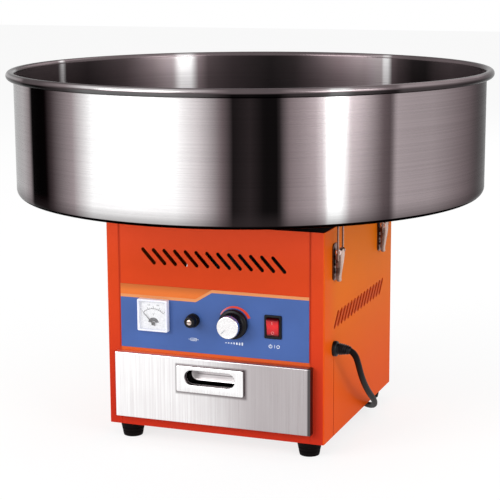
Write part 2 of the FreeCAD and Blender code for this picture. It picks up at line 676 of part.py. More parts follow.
# ---------------------------------------------------------------- floss bowl
def bowl():
    """Deep pan with a rounded lower corner, a rim rolled outwards and a collared hole in the middle."""
    outer = BOWL_WALL_RADIUS
    inner = outer - BOWL_SHEET
    floor = BOWL_FLOOR
    bead = (BOWL_OUTER_RADIUS - inner) / 2
    bead_height = BOWL_TOP - bead
    bead_start = bead_height - math.sqrt(bead ** 2 - (bead - BOWL_SHEET) ** 2)
    flat = outer - BOWL_CORNER
    hole = HEAD_HOLE_RADIUS
    bend = math.sqrt(0.5)

    def corner_arc(radius, height_order):
        """Quarter turn between the floor and the wall."""
        centre = V(flat, 0, floor + BOWL_CORNER)
        ends = [centre - Z_AXIS * radius, centre + X_AXIS * radius]
        ends = ends if height_order > 0 else ends[::-1]
        return Part.Arc(ends[0], centre + V(bend, 0, -bend) * radius, ends[1]).toShape()

    crest = V(BOWL_OUTER_RADIUS - bead, 0, BOWL_TOP)
    rim = Part.Arc(V(outer, 0, bead_start), crest, V(inner, 0, bead_height))
    collar = floor + BOWL_COLLAR
    inside_floor = floor + BOWL_SHEET
    outline = [
        Part.makeLine(V(hole, 0, floor), V(flat, 0, floor)),
        corner_arc(BOWL_CORNER, 1),
        Part.makeLine(V(outer, 0, floor + BOWL_CORNER), V(outer, 0, bead_start)),
        rim.toShape(),
        Part.makeLine(V(inner, 0, bead_height), V(inner, 0, floor + BOWL_CORNER)),
        corner_arc(BOWL_CORNER - BOWL_SHEET, -1),
        Part.makeLine(V(flat, 0, inside_floor), V(hole + BOWL_SHEET, 0, inside_floor)),
        Part.makeLine(V(hole + BOWL_SHEET, 0, inside_floor), V(hole + BOWL_SHEET, 0, collar)),
        Part.makeLine(V(hole + BOWL_SHEET, 0, collar), V(hole, 0, collar)),
        Part.makeLine(V(hole, 0, collar), V(hole, 0, floor)),
    ]
    return Part.Face(Part.Wire(outline)).revolve(V(0, 0, 0), Z_AXIS, 360)


def bowl_pads():
    """Four rubber pads that carry the bowl above the cabinet."""
    places = around(PAD_CIRCLE, (45, 135, 225, 315), TOP)
    return [rod(PAD_RADIUS, place, Z_AXIS, BOWL_GAP) for place in places]


# ---------------------------------------------------------------- latches
def latch_frame(side, place):
    """Turns latch coordinates (out from the panel, along it, up) into the machine's own."""
    skin = RIGHT if side > 0 else LEFT

    def point(out, along, height):
        return V(skin + side * out, place + along, height)

    return point


def latch_block(point, out0, out1, along, height0, height1):
    """A box centred on the latch's middle plane, along being its whole width."""
    a = point(out0, -along / 2, height0)
    b = point(out1, along / 2, height1)
    return block(min(a.x, b.x), max(a.x, b.x), a.y, b.y, height0, height1)


def rivet_places(side):
    """Rivet centres on one side of the cabinet, at its outer face."""
    return [latch_frame(side, place)(0, 0, LATCH_PIVOT_HEIGHT - drop)
            for latch_side, end, place in LATCHES if latch_side == side
            for drop in RIVET_DROPS]


def latch_base(side, place):
    """Riveted plate with two ears and the lever's pin."""
    point = latch_frame(side, place)
    pivot = LATCH_PIVOT_HEIGHT
    pieces = [latch_block(point, 0, LATCH_SHEET, LATCH_BASE_WIDTH,
                          pivot - LATCH_BASE_BELOW, pivot + LATCH_BASE_ABOVE)]
    ear_outside = LEVER_WIDTH / 2 - LATCH_SHEET - EAR_GAP
    for end in (-1, 1):
        near = min(end * ear_outside, end * (ear_outside - LATCH_SHEET))
        pieces.append(rod(EAR_RADIUS, point(LATCH_PIVOT_OUT, near, pivot), Y_AXIS, LATCH_SHEET))
        ear = [point(LATCH_SHEET / 2, near, pivot - EAR_FOOT),
               point(LATCH_PIVOT_OUT, near, pivot - EAR_FOOT / 3),
               point(LATCH_PIVOT_OUT, near, pivot),
               point(LATCH_SHEET / 2, near, pivot)]
        pieces.append(prism(ear, Y_AXIS * LATCH_SHEET))
    pieces.append(rod(PIN_RADIUS, point(LATCH_PIVOT_OUT, -LEVER_WIDTH / 2, pivot), Y_AXIS, LEVER_WIDTH))
    holes = [rod(FASTENER_RADIUS + RUN_CLEARANCE, point(-LATCH_SHEET, 0, pivot - drop), X_AXIS * side,
                 4 * LATCH_SHEET)
             for drop in RIVET_DROPS]
    return fused(pieces).cut(holes)


def latch_rivet(side, centre):
    """Flat-headed rivet through a latch base and the side panel."""
    out = X_AXIS * side
    tail_end = centre - out * (SHEET + RIVET_TAIL_HEIGHT)
    head = rod(FASTENER_HEAD_RADIUS, centre + out * LATCH_SHEET, out, RIVET_HEAD_HEIGHT)
    shank = rod(FASTENER_RADIUS, tail_end, out, RIVET_TAIL_HEIGHT + SHEET + LATCH_SHEET)
    tail = rod(FASTENER_HEAD_RADIUS, tail_end, out, RIVET_TAIL_HEIGHT)
    return fused([head, shank, tail])


def latch_lever(side, place):
    """Tapered lever with two cheeks at its pivot and a finger tab that flares out at its lower end."""
    point = latch_frame(side, place)
    pivot = LATCH_PIVOT_HEIGHT
    bottom = pivot - LEVER_LENGTH
    inside = LATCH_PIVOT_OUT + LEVER_OUT
    outside = inside + LATCH_SHEET
    half = LEVER_WIDTH / 2
    strip = [(inside, pivot + 1), (inside, bottom + LEVER_TAB), (inside + LEVER_FLARE, bottom),
             (outside + LEVER_FLARE, bottom), (outside, bottom + LEVER_TAB + 0.5), (outside, pivot + 1)]
    face = prism([point(out, -half, height) for out, height in strip], Y_AXIS * LEVER_WIDTH)
    tip = LEVER_TIP_WIDTH / 2
    waist = pivot - LEVER_TAPER_START
    taper = [point(0, -half, pivot + 2), point(0, half, pivot + 2), point(0, half, waist),
             point(0, tip, bottom - 1), point(0, -tip, bottom - 1), point(0, -half, waist)]
    face = face.common(prism(taper, X_AXIS * (side * 2 * outside)))
    near = LATCH_PIVOT_OUT - CHEEK_RADIUS
    far = inside + LATCH_SHEET / 3
    loop_height = pivot - LATCH_ARM
    cheeks = []
    for end in (-1, 1):
        along = min(end * half, end * (half - LATCH_SHEET))
        cheeks.append(rod(CHEEK_RADIUS, point(LATCH_PIVOT_OUT, along, pivot), Y_AXIS, LATCH_SHEET))
        outline = [point(near, along, pivot), point(far, along, pivot), point(far, along, loop_height - 5),
                   point(LATCH_PIVOT_OUT - 1, along, loop_height - 3), point(near, along, loop_height)]
        cheeks.append(prism(outline, Y_AXIS * LATCH_SHEET))
    start = -half - 1
    length = LEVER_WIDTH + 2
    holes = [
        rod(PIN_RADIUS + RUN_CLEARANCE, point(LATCH_PIVOT_OUT, start, pivot), Y_AXIS, length),
        rod(LOOP_WIRE_RADIUS + RUN_CLEARANCE, point(LATCH_PIVOT_OUT, start, loop_height), Y_AXIS, length),
    ]
    return fused([face] + cheeks).cut(holes)


def loop_bar_height():
    """Height of the loop's cross-bar, resting just over the keeper's ledge."""
    return KEEPER_LEDGE_HEIGHT + KEEPER_CLEARANCE + LOOP_WIRE_RADIUS


def bent_wire(points, radius, bend):
    """A round wire through points, with one bend radius at every inner point; closed flat at both ends."""
    edges = []
    start = points[0]
    for before, corner, after in zip(points, points[1:], points[2:]):
        back = before - corner
        ahead = after - corner
        back.normalize()
        ahead.normalize()
        half_turn = (math.pi - back.getAngle(ahead)) / 2
        cut = bend * math.tan(half_turn)
        first = corner + back * cut
        last = corner + ahead * cut
        bisector = back + ahead
        bisector.normalize()
        middle = corner + bisector * (bend / math.cos(half_turn) - bend)
        edges.append(Part.makeLine(start, first))
        edges.append(Part.Arc(first, middle, last).toShape())
        start = last
    edges.append(Part.makeLine(start, points[-1]))
    path = Part.Wire(edges)
    section = Part.Wire(Part.makeCircle(radius, points[0], points[1] - points[0]))
    return path.makePipeShell([section], True, False)


def latch_loop(side, place):
    """Wire loop from the lever's cheeks up over the keeper."""
    point = latch_frame(side, place)
    half = LOOP_LEG_SPACING / 2
    low = LATCH_PIVOT_HEIGHT - LATCH_ARM
    high = loop_bar_height()
    inner = LEVER_WIDTH / 2 - LATCH_SHEET
    wire = [point(LATCH_PIVOT_OUT, -inner, low), point(LATCH_PIVOT_OUT, -half, low),
            point(LATCH_PIVOT_OUT, -half, high), point(LATCH_PIVOT_OUT, half, high),
            point(LATCH_PIVOT_OUT, half, low), point(LATCH_PIVOT_OUT, inner, low)]
    return bent_wire(wire, LOOP_WIRE_RADIUS, LOOP_BEND)


def bowl_keeper(side, place):
    """Hook of sheet metal under the bowl that the loop pulls down on."""
    point = latch_frame(side, place)
    ledge = KEEPER_LEDGE_HEIGHT
    width = KEEPER_WIDTH
    leg = LATCH_PIVOT_OUT - LOOP_WIRE_RADIUS - KEEPER_SHEET_GAP
    return fused([
        latch_block(point, leg - KEEPER_FLANGE, leg, width, BOWL_FLOOR - LATCH_SHEET, BOWL_FLOOR),
        latch_block(point, leg - LATCH_SHEET, leg, width, ledge - LATCH_SHEET, BOWL_FLOOR),
        latch_block(point, leg - LATCH_SHEET, leg + KEEPER_LEDGE, width, ledge - LATCH_SHEET, ledge),
    ])


# ---------------------------------------------------------------- motor
def motor_housing():
    """Can and end bell of the motor, each with a bearing for the shaft."""
    bell_bottom = MOTOR_TOP - MOTOR_BELL
    can = rod(MOTOR_RADIUS, V(0, 0, MOTOR_BOTTOM), Z_AXIS, bell_bottom - MOTOR_BOTTOM)
    lower_edges = [edge for edge in can.Edges if edge.BoundBox.ZMax < MOTOR_BOTTOM + 0.1]
    can = can.makeFillet(MOTOR_WALL - 1, lower_edges)
    hollow = rod(MOTOR_RADIUS - MOTOR_WALL, V(0, 0, MOTOR_BOTTOM + MOTOR_END), Z_AXIS, MOTOR_LENGTH)
    bearing_bottom = MOTOR_BOTTOM + MOTOR_END - MOTOR_WALL - 1
    bearing = rod(SHAFT_RADIUS + RUN_CLEARANCE, V(0, 0, bearing_bottom), Z_AXIS, MOTOR_LENGTH)
    bell = rod(MOTOR_RADIUS + MOTOR_BELL_LIP, V(0, 0, bell_bottom), Z_AXIS, MOTOR_BELL)
    return [can.cut([hollow, bearing]), bell.cut(bearing)]


def motor_bracket():
    """Cross-shaped plate on top of the motor, reaching out to its rubber mounts."""
    half = MOTOR_MOUNT_RADIUS + BRACKET_EDGE
    reach = MOTOR_MOUNT_CIRCLE + half
    arm = block(-reach, reach, -half, half, MOTOR_TOP, MOTOR_TOP + BRACKET_THICKNESS)
    arms = []
    for turn in (45, 135):
        turned_arm = arm.copy()
        turned_arm.rotate(V(0, 0, 0), Z_AXIS, turn)
        arms.append(turned_arm)
    disc = rod(BRACKET_DISC_RADIUS, V(0, 0, MOTOR_TOP), Z_AXIS, BRACKET_THICKNESS)
    hole = rod(SHAFT_RADIUS + SHAFT_ROOM, V(0, 0, MOTOR_TOP - 1), Z_AXIS, BRACKET_THICKNESS + 2)
    return fused(arms + [disc]).cut(hole)


def motor_mounts():
    """Four rubber mounts between the bracket and the top plate."""
    places = around(MOTOR_MOUNT_CIRCLE, (45, 135, 225, 315), MOTOR_TOP + BRACKET_THICKNESS)
    return [rod(MOTOR_MOUNT_RADIUS, place, Z_AXIS, MOTOR_MOUNT_HEIGHT) for place in places]


def motor_rotor():
    """Rotor stack and its shaft, from the motor's lower bearing up through the head's floor."""
    bottom = MOTOR_BOTTOM + MOTOR_END - MOTOR_WALL - 1 + 6 * RUN_CLEARANCE
    middle = (MOTOR_BOTTOM + MOTOR_TOP) / 2
    shaft = rod(SHAFT_RADIUS, V(0, 0, bottom), Z_AXIS, HEAD_TOP_OF_FLOOR + SHAFT_END - bottom)
    stack = tube(ROTOR_RADIUS, SHAFT_RADIUS, V(0, 0, middle - ROTOR_LENGTH / 2), Z_AXIS, ROTOR_LENGTH)
    return [shaft, stack]


def slip_ring_disc():
    """Insulating disc on the shaft that carries the slip rings."""
    return tube(SLIP_DISC_RADIUS, SHAFT_RADIUS, V(0, 0, SLIP_DISC_FLOOR), Z_AXIS, SLIP_DISC_THICKNESS)


def slip_rings():
    """Two brass rings under the disc."""
    half = SLIP_RING_WIDTH / 2
    return [tube(radius + half, radius - half, V(0, 0, SLIP_RING_FLOOR), Z_AXIS, SLIP_RING_THICKNESS)
            for radius in SLIP_RING_RADII]


def brush_boxes(size, bottom, top):
    """One square post under each slip ring, on opposite sides of the shaft."""
    inner, outer = SLIP_RING_RADII
    half = size / 2
    return [block(x - half, x + half, -half, half, bottom, top) for x in (-inner, outer)]


def brush_holder():
    """Insulating base on the top plate with a guide for each brush."""
    base = tube(SLIP_DISC_RADIUS, SHAFT_RADIUS + SHAFT_ROOM, V(0, 0, TOP), Z_AXIS, BRUSH_BASE)
    guides = brush_boxes(BRUSH_SIZE + 2 * BRUSH_WALL, TOP, SLIP_RING_FLOOR - BRUSH_REACH)
    pockets = brush_boxes(BRUSH_SIZE + PANEL_CLEARANCE, TOP + BRUSH_BASE, SLIP_RING_FLOOR)
    return fused([base] + guides).cut(pockets)


def carbon_brushes():
    """Two brushes that stand in their guides just under the rings."""
    return brush_boxes(BRUSH_SIZE, TOP + BRUSH_BASE, SLIP_RING_FLOOR - BRUSH_GAP)


# ---------------------------------------------------------------- spinning head
def head_floor():
    """Cast floor of the head with a hub on the shaft."""
    disc = rod(HEAD_RADIUS, V(0, 0, HEAD_FLOOR), Z_AXIS, HEAD_FLOOR_THICKNESS)
    hub = rod(HUB_RADIUS, V(0, 0, HEAD_FLOOR - HUB_HEIGHT), Z_AXIS, HUB_HEIGHT)
    bore = rod(SHAFT_RADIUS, V(0, 0, HEAD_FLOOR - 2 * HUB_HEIGHT), Z_AXIS, 4 * HUB_HEIGHT)
    return fused([disc, hub]).cut(bore)


def head_screen():
    """Slotted band around the head that the melted sugar flies out through."""
    outer = HEAD_RADIUS - SCREEN_INSET
    half = SCREEN_SLOT_WIDTH / 2
    band = tube(outer, outer - SCREEN_THICKNESS, V(0, 0, HEAD_TOP_OF_FLOOR), Z_AXIS, SCREEN_HEIGHT)
    cutter = block(outer - 2 * SCREEN_THICKNESS, outer + SCREEN_THICKNESS, -half, half,
                   HEAD_TOP_OF_FLOOR + SCREEN_BAND, SCREEN_TOP - SCREEN_BAND)
    slots = []
    for index in range(SCREEN_SLOTS):
        slot = cutter.copy()
        slot.rotate(V(0, 0, 0), Z_AXIS, index * 360.0 / SCREEN_SLOTS)
        slots.append(slot)
    return band.cut(slots)


def heating_element():
    """Three heater rings carried by six ceramic posts."""
    circle = HEAD_RADIUS - SCREEN_THICKNESS - HEATER_INSET
    rings = [Part.makeTorus(circle, HEATER_RADIUS, V(0, 0, HEAD_TOP_OF_FLOOR + SCREEN_HEIGHT * share), Z_AXIS)
             for share in (0.25, 0.5, 0.75)]
    posts = [rod(HEATER_POST_RADIUS, place, Z_AXIS, SCREEN_HEIGHT)
             for place in around(circle, range(0, 360, 60), HEAD_TOP_OF_FLOOR)]
    return fused(posts + rings)


def stud_places():
    """Centres of the three studs that hold the head together."""
    return around(STUD_CIRCLE, (30, 150, 270))


def head_cover():
    """Flat ring over the screen that rises in a cone to the sugar opening."""
    shoulder = STUD_CIRCLE - HEAD_CONE_INSET
    mouth = SUGAR_CUP_RADIUS
    low = SCREEN_TOP
    high = SCREEN_TOP + HEAD_CONE_HEIGHT
    cover = turned([(HEAD_RADIUS, low), (HEAD_RADIUS, low + HEAD_SHEET), (shoulder, low + HEAD_SHEET),
                    (mouth + HEAD_SHEET, high), (mouth, high), (mouth, high - 2 * HEAD_SHEET),
                    (shoulder - HEAD_SHEET, low)])
    holes = [rod(STUD_RADIUS + PANEL_CLEARANCE / 2, place + Z_AXIS * (low - 1), Z_AXIS, HEAD_SHEET + 2)
             for place in stud_places()]
    return cover.cut(holes)


def sugar_cup():
    """Cup in the middle of the head, with outlets near its floor."""
    outer = SUGAR_CUP_RADIUS
    inner = outer - HEAD_SHEET
    low = HEAD_TOP_OF_FLOOR
    high = SCREEN_TOP + HEAD_CONE_HEIGHT
    floor = low + SUGAR_CUP_FLOOR
    cup = turned([(SHAFT_RADIUS, low), (outer, low), (outer, high), (inner, high), (inner, floor),
                  (SHAFT_RADIUS, floor)])
    start = inner - 2 * HEAD_SHEET
    level = Z_AXIS * (low + SUGAR_OUTLET_HEIGHT)
    outlets = [rod(SUGAR_OUTLET_RADIUS, level + out * start, out, 6 * HEAD_SHEET)
               for out in around(1.0, range(0, 360, 45))]
    return cup.cut(outlets)


def head_nut():
    """Nut on the shaft that clamps the cup and the head's floor."""
    low = HEAD_TOP_OF_FLOOR + SUGAR_CUP_FLOOR
    nut = prism(around(HEAD_NUT_RADIUS, range(0, 360, 60), low), Z_AXIS * HEAD_NUT_HEIGHT)
    return nut.cut(rod(SHAFT_RADIUS, V(0, 0, low - 1), Z_AXIS, HEAD_NUT_HEIGHT + 2))


def head_studs():
    """Three studs with nuts between the head's floor and its cover."""
    studs = []
    for place in stud_places():
        length = SCREEN_HEIGHT + HEAD_SHEET + STUD_NUT_HEIGHT + STUD_END
        shank = rod(STUD_RADIUS, place + Z_AXIS * HEAD_TOP_OF_FLOOR, Z_AXIS, length)
        nut = rod(STUD_NUT_RADIUS, place + Z_AXIS * (SCREEN_TOP + HEAD_SHEET), Z_AXIS, STUD_NUT_HEIGHT)
        studs.append(fused([shank, nut]))
    return studs


# ---------------------------------------------------------------- drawer
def drawer_front():
    """Folded stainless front, hollow behind, with a hole for the finger cup."""
    half = DRAWER_FRONT_WIDTH / 2
    outer = block(CABINET_SHIFT - half, CABINET_SHIFT + half, DRAWER_FACE, DRAWER_BACK,
                  DRAWER_BOTTOM, DRAWER_TOP)
    outer = outer.makeFillet(DRAWER_EDGE, front_edges(outer, DRAWER_FACE))
    inner = block(CABINET_SHIFT - half + DRAWER_SHEET, CABINET_SHIFT + half - DRAWER_SHEET,
                  DRAWER_FACE + DRAWER_SHEET, DRAWER_BACK + 1,
                  DRAWER_BOTTOM + DRAWER_SHEET, DRAWER_TOP - DRAWER_SHEET)
    return outer.cut([inner, finger_cup_body(2 * PANEL_CLEARANCE)])


def drawer_tray():
    """Open tray behind the drawer front."""
    half = TRAY_WIDTH / 2
    outer = block(CABINET_SHIFT - half, CABINET_SHIFT + half, TRAY_START, TRAY_END,
                  TRAY_FLOOR, TRAY_FLOOR + TRAY_HEIGHT)
    inner = block(CABINET_SHIFT - half + DRAWER_SHEET, CABINET_SHIFT + half - DRAWER_SHEET,
                  TRAY_START + DRAWER_SHEET, TRAY_END - DRAWER_SHEET,
                  TRAY_FLOOR + DRAWER_SHEET, TRAY_FLOOR + TRAY_HEIGHT + 1)
    return outer.cut([inner, finger_cup_body(2 * PANEL_CLEARANCE)])


def handle_plate():
    """Raised plate around the finger slot."""
    half = HANDLE_WIDTH / 2
    tall = HANDLE_HEIGHT / 2
    face = DRAWER_FACE - HANDLE_PROUD
    plate = block(CABINET_SHIFT - half, CABINET_SHIFT + half, face, DRAWER_FACE,
                  HANDLE_MIDDLE - tall, HANDLE_MIDDLE + tall)
    plate = plate.makeFillet(HANDLE_EDGE, front_edges(plate, face))
    slot_place = V(CABINET_SHIFT, face - 1, GRIP_MIDDLE)
    return plate.cut(obround(GRIP_WIDTH, GRIP_HEIGHT, HANDLE_PROUD + 2, slot_place))


def finger_cup_body(spare):
    """The finger cup's outer shape, grown by spare all round."""
    grow = 2 * CUP_SHEET + spare
    place = V(CABINET_SHIFT, DRAWER_FACE, GRIP_MIDDLE)
    return obround(GRIP_WIDTH + grow, GRIP_HEIGHT + grow, GRIP_DEPTH, place)


def finger_cup():
    """Deep-drawn cup behind the finger slot, round at the back."""
    outer = finger_cup_body(0)
    back = DRAWER_FACE + GRIP_DEPTH
    outer = outer.makeFillet(CUP_BEND, [edge for edge in outer.Edges if edge.BoundBox.YMin > back - 0.01])
    mouth = V(CABINET_SHIFT, DRAWER_FACE - 1, GRIP_MIDDLE)
    inner = obround(GRIP_WIDTH, GRIP_HEIGHT, GRIP_DEPTH - CUP_SHEET + 1, mouth)
    inner_back = back - CUP_SHEET
    inner = inner.makeFillet(CUP_BEND - CUP_SHEET,
                             [edge for edge in inner.Edges if edge.BoundBox.YMin > inner_back - 0.01])
    return outer.cut(inner)


def drawer_runner(side):
    """Angle rail on the base pan: a ledge under the tray and a guide beside it."""
    wall = TRAY_WIDTH / 2 + SLIDE_CLEARANCE
    ledge_top = TRAY_FLOOR - SLIDE_CLEARANCE
    floor = BOTTOM + SHEET

    def rail(reach, low, high):
        """A strip that reaches inwards from the runner's outer face."""
        ends = sorted((CABINET_SHIFT + side * (wall - reach), CABINET_SHIFT + side * (wall + SHEET)))
        return block(ends[0], ends[1], FRONT + RUNNER_START, TRAY_END + RUNNER_END, low, high)

    return fused([
        rail(0, floor, TRAY_FLOOR + TRAY_HEIGHT / 2),
        rail(RUNNER_LEDGE, ledge_top - SHEET, ledge_top),
        rail(RUNNER_FOOT, floor, floor + SHEET),
    ])


# ---------------------------------------------------------------- controls
def meter_point(x, y, z):
    """A place on the voltmeter, measured from its middle at the fascia's face."""
    return V(CABINET_SHIFT + METER_X + x, FACE + y, METER_HEIGHT + z)


def meter_block(size, y0, y1):
    """A square slab centred on the voltmeter."""
    low = meter_point(-size / 2, y0, -size / 2)
    high = meter_point(size / 2, y1, size / 2)
    return block(low.x, high.x, low.y, high.y, low.z, high.z)


def voltmeter_case():
    """Square case with a hollow front and a round barrel through the panel."""
    case = meter_block(METER_SIZE, -METER_PROUD, 0)
    case = case.makeFillet(METER_EDGE, front_edges(case, FACE - METER_PROUD))
    barrel = rod(METER_BARREL_RADIUS, meter_point(0, -1, 0), Y_AXIS, METER_BARREL_LENGTH + 1)
    hollow = meter_block(METER_INSIDE, -METER_PROUD - 1, -METER_FLOOR)
    arbor_end = NEEDLE_PLACE + ARBOR_LENGTH + METER_CLEARANCE
    arbor = rod(ARBOR_RADIUS + RUN_CLEARANCE, meter_point(0, NEEDLE_PLACE, -NEEDLE_DROP), Y_AXIS,
                arbor_end - NEEDLE_PLACE)
    return fused([case, barrel]).cut([hollow, arbor])


def voltmeter_dial():
    """Dial plate at the back of the case's hollow."""
    dial = meter_block(METER_INSIDE - PANEL_CLEARANCE, -METER_FLOOR - METER_DIAL, -METER_FLOOR)
    arbor_place = meter_point(0, NEEDLE_PLACE, -NEEDLE_DROP)
    return dial.cut(rod(ARBOR_RADIUS + METER_DIAL, arbor_place, Y_AXIS, ARBOR_LENGTH))


def voltmeter_window():
    """Clear window that closes the case."""
    front = PANEL_CLEARANCE - METER_PROUD
    return meter_block(METER_INSIDE - PANEL_CLEARANCE, front, front + METER_WINDOW)


def meter_needle():
    """Needle and its arbor, lying at the zero mark."""
    start = meter_point(0, NEEDLE_PLACE, -NEEDLE_DROP)
    hub = rod(NEEDLE_HUB_RADIUS, start, Y_AXIS, NEEDLE_HUB_HEIGHT)
    arbor = rod(ARBOR_RADIUS, start, Y_AXIS, ARBOR_LENGTH)
    half = NEEDLE_WIDTH / 2
    tip = NEEDLE_TIP_WIDTH / 2
    back = start + Y_AXIS * 0.3
    pointer = [back + V(-half, 0, -NEEDLE_TAIL), back + V(half, 0, -NEEDLE_TAIL),
               back + V(tip, 0, NEEDLE_LENGTH), back + V(-tip, 0, NEEDLE_LENGTH)]
    needle = fused([hub, arbor, prism(pointer, Y_AXIS * NEEDLE_THICKNESS)])
    needle.rotate(meter_point(0, 0, -NEEDLE_DROP), Y_AXIS, NEEDLE_START)
    return needle


def on_axis(x, y):
    """A point on the axis of a round control."""
    return V(CABINET_SHIFT + x, FACE + y, CONTROL_HEIGHT)


def fuse_holder():
    """Threaded holder through the panel, with its flange in front and its nut behind."""
    start = on_axis(FUSE_X, -FUSE_FLANGE_HEIGHT)
    flange = rod(FUSE_BARREL_RADIUS + FUSE_FLANGE, start, Y_AXIS, FUSE_FLANGE_HEIGHT)
    barrel = rod(FUSE_BARREL_RADIUS, start, Y_AXIS, FUSE_FLANGE_HEIGHT + FUSE_DEPTH)
    nut_start = on_axis(FUSE_X, FASCIA_THICKNESS + SHEET)
    nut = rod(FUSE_BARREL_RADIUS + FUSE_NUT, nut_start, Y_AXIS, FUSE_NUT_HEIGHT)
    bore = rod(FUSE_BORE_RADIUS + RUN_CLEARANCE, start - Y_AXIS, Y_AXIS, FUSE_BACK + FUSE_FLANGE_HEIGHT + 1)
    return fused([flange, barrel, nut]).cut(bore)


def fuse_cap():
    """Slotted cap with the stem that carries the fuse."""
    front = on_axis(FUSE_X, -FUSE_PROUD)
    seat = FUSE_FLANGE_HEIGHT + FUSE_CAP_GAP
    knob = rod(FUSE_CAP_RADIUS, front, Y_AXIS, FUSE_PROUD - seat)
    knob = knob.makeFillet(FUSE_CAP_EDGE, front_edges(knob, front.y))
    stem = rod(FUSE_BORE_RADIUS, on_axis(FUSE_X, -seat - 0.7), Y_AXIS, seat + 0.7 + FUSE_STEM)
    slot = block(front.x - FUSE_SLOT_LENGTH / 2, front.x + FUSE_SLOT_LENGTH / 2,
                 front.y - 1, front.y + FUSE_SLOT_DEPTH,
                 front.z - FUSE_SLOT_WIDTH / 2, front.z + FUSE_SLOT_WIDTH / 2)
    return fused([knob, stem]).cut(slot)


def fuse_cartridge():
    """Glass fuse held by the cap's stem."""
    return rod(FUSE_RADIUS, on_axis(FUSE_X, FUSE_STEM), Y_AXIS, FUSE_LENGTH)


def heat_control():
    """Control body behind the panel, with its threaded bush and nut in front."""
    bush_proud = BUSH_NUT_HEIGHT + 0.4
    body = rod(HEAT_BODY_RADIUS, on_axis(KNOB_X, FASCIA_THICKNESS + SHEET), Y_AXIS, HEAT_BODY_DEPTH)
    bush = rod(BUSH_RADIUS, on_axis(KNOB_X, -bush_proud), Y_AXIS, bush_proud + 2 * SHEET + 1)
    nut = rod(BUSH_RADIUS + BUSH_NUT, on_axis(KNOB_X, -BUSH_NUT_HEIGHT), Y_AXIS, BUSH_NUT_HEIGHT)
    bore = rod(SPINDLE_RADIUS + RUN_CLEARANCE, on_axis(KNOB_X, -4), Y_AXIS, HEAT_BODY_DEPTH)
    return fused([body, bush, nut]).cut(bore)


def knob_body():
    """Black knob with its skirt, hollow underneath, and the spindle it turns."""
    start = on_axis(KNOB_X, -KNOB_SKIRT_HEIGHT)
    skirt = rod(KNOB_SKIRT_RADIUS, start, Y_AXIS, KNOB_SKIRT_HEIGHT - KNOB_SKIRT_GAP)
    skirt = skirt.makeFillet(KNOB_EDGE, front_edges(skirt, start.y))
    core_start = on_axis(KNOB_X, KNOB_TOP - KNOB_PROUD)
    grip = rod(KNOB_CAP_RADIUS - KNOB_CAP_SHEET, core_start, Y_AXIS, KNOB_PROUD - KNOB_SKIRT_HEIGHT)
    hollow_start = on_axis(KNOB_X, -KNOB_SKIRT_HEIGHT / 2)
    hollow = rod(BUSH_RADIUS + BUSH_NUT + 2, hollow_start, Y_AXIS, KNOB_SKIRT_HEIGHT)
    spindle = rod(SPINDLE_RADIUS, on_axis(KNOB_X, 1 - KNOB_SKIRT_HEIGHT), Y_AXIS, SPINDLE_LENGTH)
    return fused([fused([skirt, grip]).cut(hollow), spindle])


def knob_cap():
    """Bright cap over the knob's grip, with a pointer groove."""
    start = on_axis(KNOB_X, -KNOB_PROUD)
    cap = rod(KNOB_CAP_RADIUS, start, Y_AXIS, KNOB_PROUD - KNOB_SKIRT_HEIGHT)
    cap = cap.makeFillet(KNOB_CAP_EDGE, front_edges(cap, start.y))
    core = rod(KNOB_CAP_RADIUS - KNOB_CAP_SHEET, on_axis(KNOB_X, KNOB_TOP - KNOB_PROUD), Y_AXIS, KNOB_PROUD)
    groove = block(start.x - KNOB_GROOVE_WIDTH / 2, start.x + KNOB_GROOVE_WIDTH / 2,
                   start.y - 1, start.y + KNOB_GROOVE_DEPTH,
                   start.z + KNOB_GROOVE_START, start.z + KNOB_CAP_RADIUS + 1.25)
    groove.rotate(start, Y_AXIS, KNOB_REST)
    return cap.cut([core, groove])


def switch_block(wide, high, y0, y1):
    """A box centred on the switch."""
    middle = on_axis(SWITCH_X, 0)
    return block(middle.x - wide / 2, middle.x + wide / 2, FACE + y0, FACE + y1,
                 middle.z - high / 2, middle.z + high / 2)


def switch_housing():
    """Snap-in switch body with its bezel and the well that the rocker tilts in."""
    bezel = switch_block(BEZEL_WIDTH, BEZEL_HEIGHT, -BEZEL_PROUD, 0)
    bezel = bezel.makeFillet(BEZEL_EDGE, front_edges(bezel, FACE - BEZEL_PROUD))
    body = switch_block(BEZEL_WIDTH - 2 * SWITCH_LIP, BEZEL_HEIGHT - 2 * SWITCH_LIP, -1, SWITCH_DEPTH)
    well = switch_block(ROCKER_WIDTH + 2 * ROCKER_CLEARANCE, 2 * (ROCKER_RADIUS + ROCKER_CLEARANCE),
                        -BEZEL_PROUD - 1, SWITCH_DEPTH / 2)
    reach = ROCKER_PIN_REACH + PANEL_CLEARANCE
    pin_start = on_axis(SWITCH_X - reach, ROCKER_PIVOT_DEPTH)
    pin = rod(ROCKER_PIN_RADIUS + RUN_CLEARANCE, pin_start, X_AXIS, 2 * reach)
    return fused([bezel, body]).cut([well, pin])


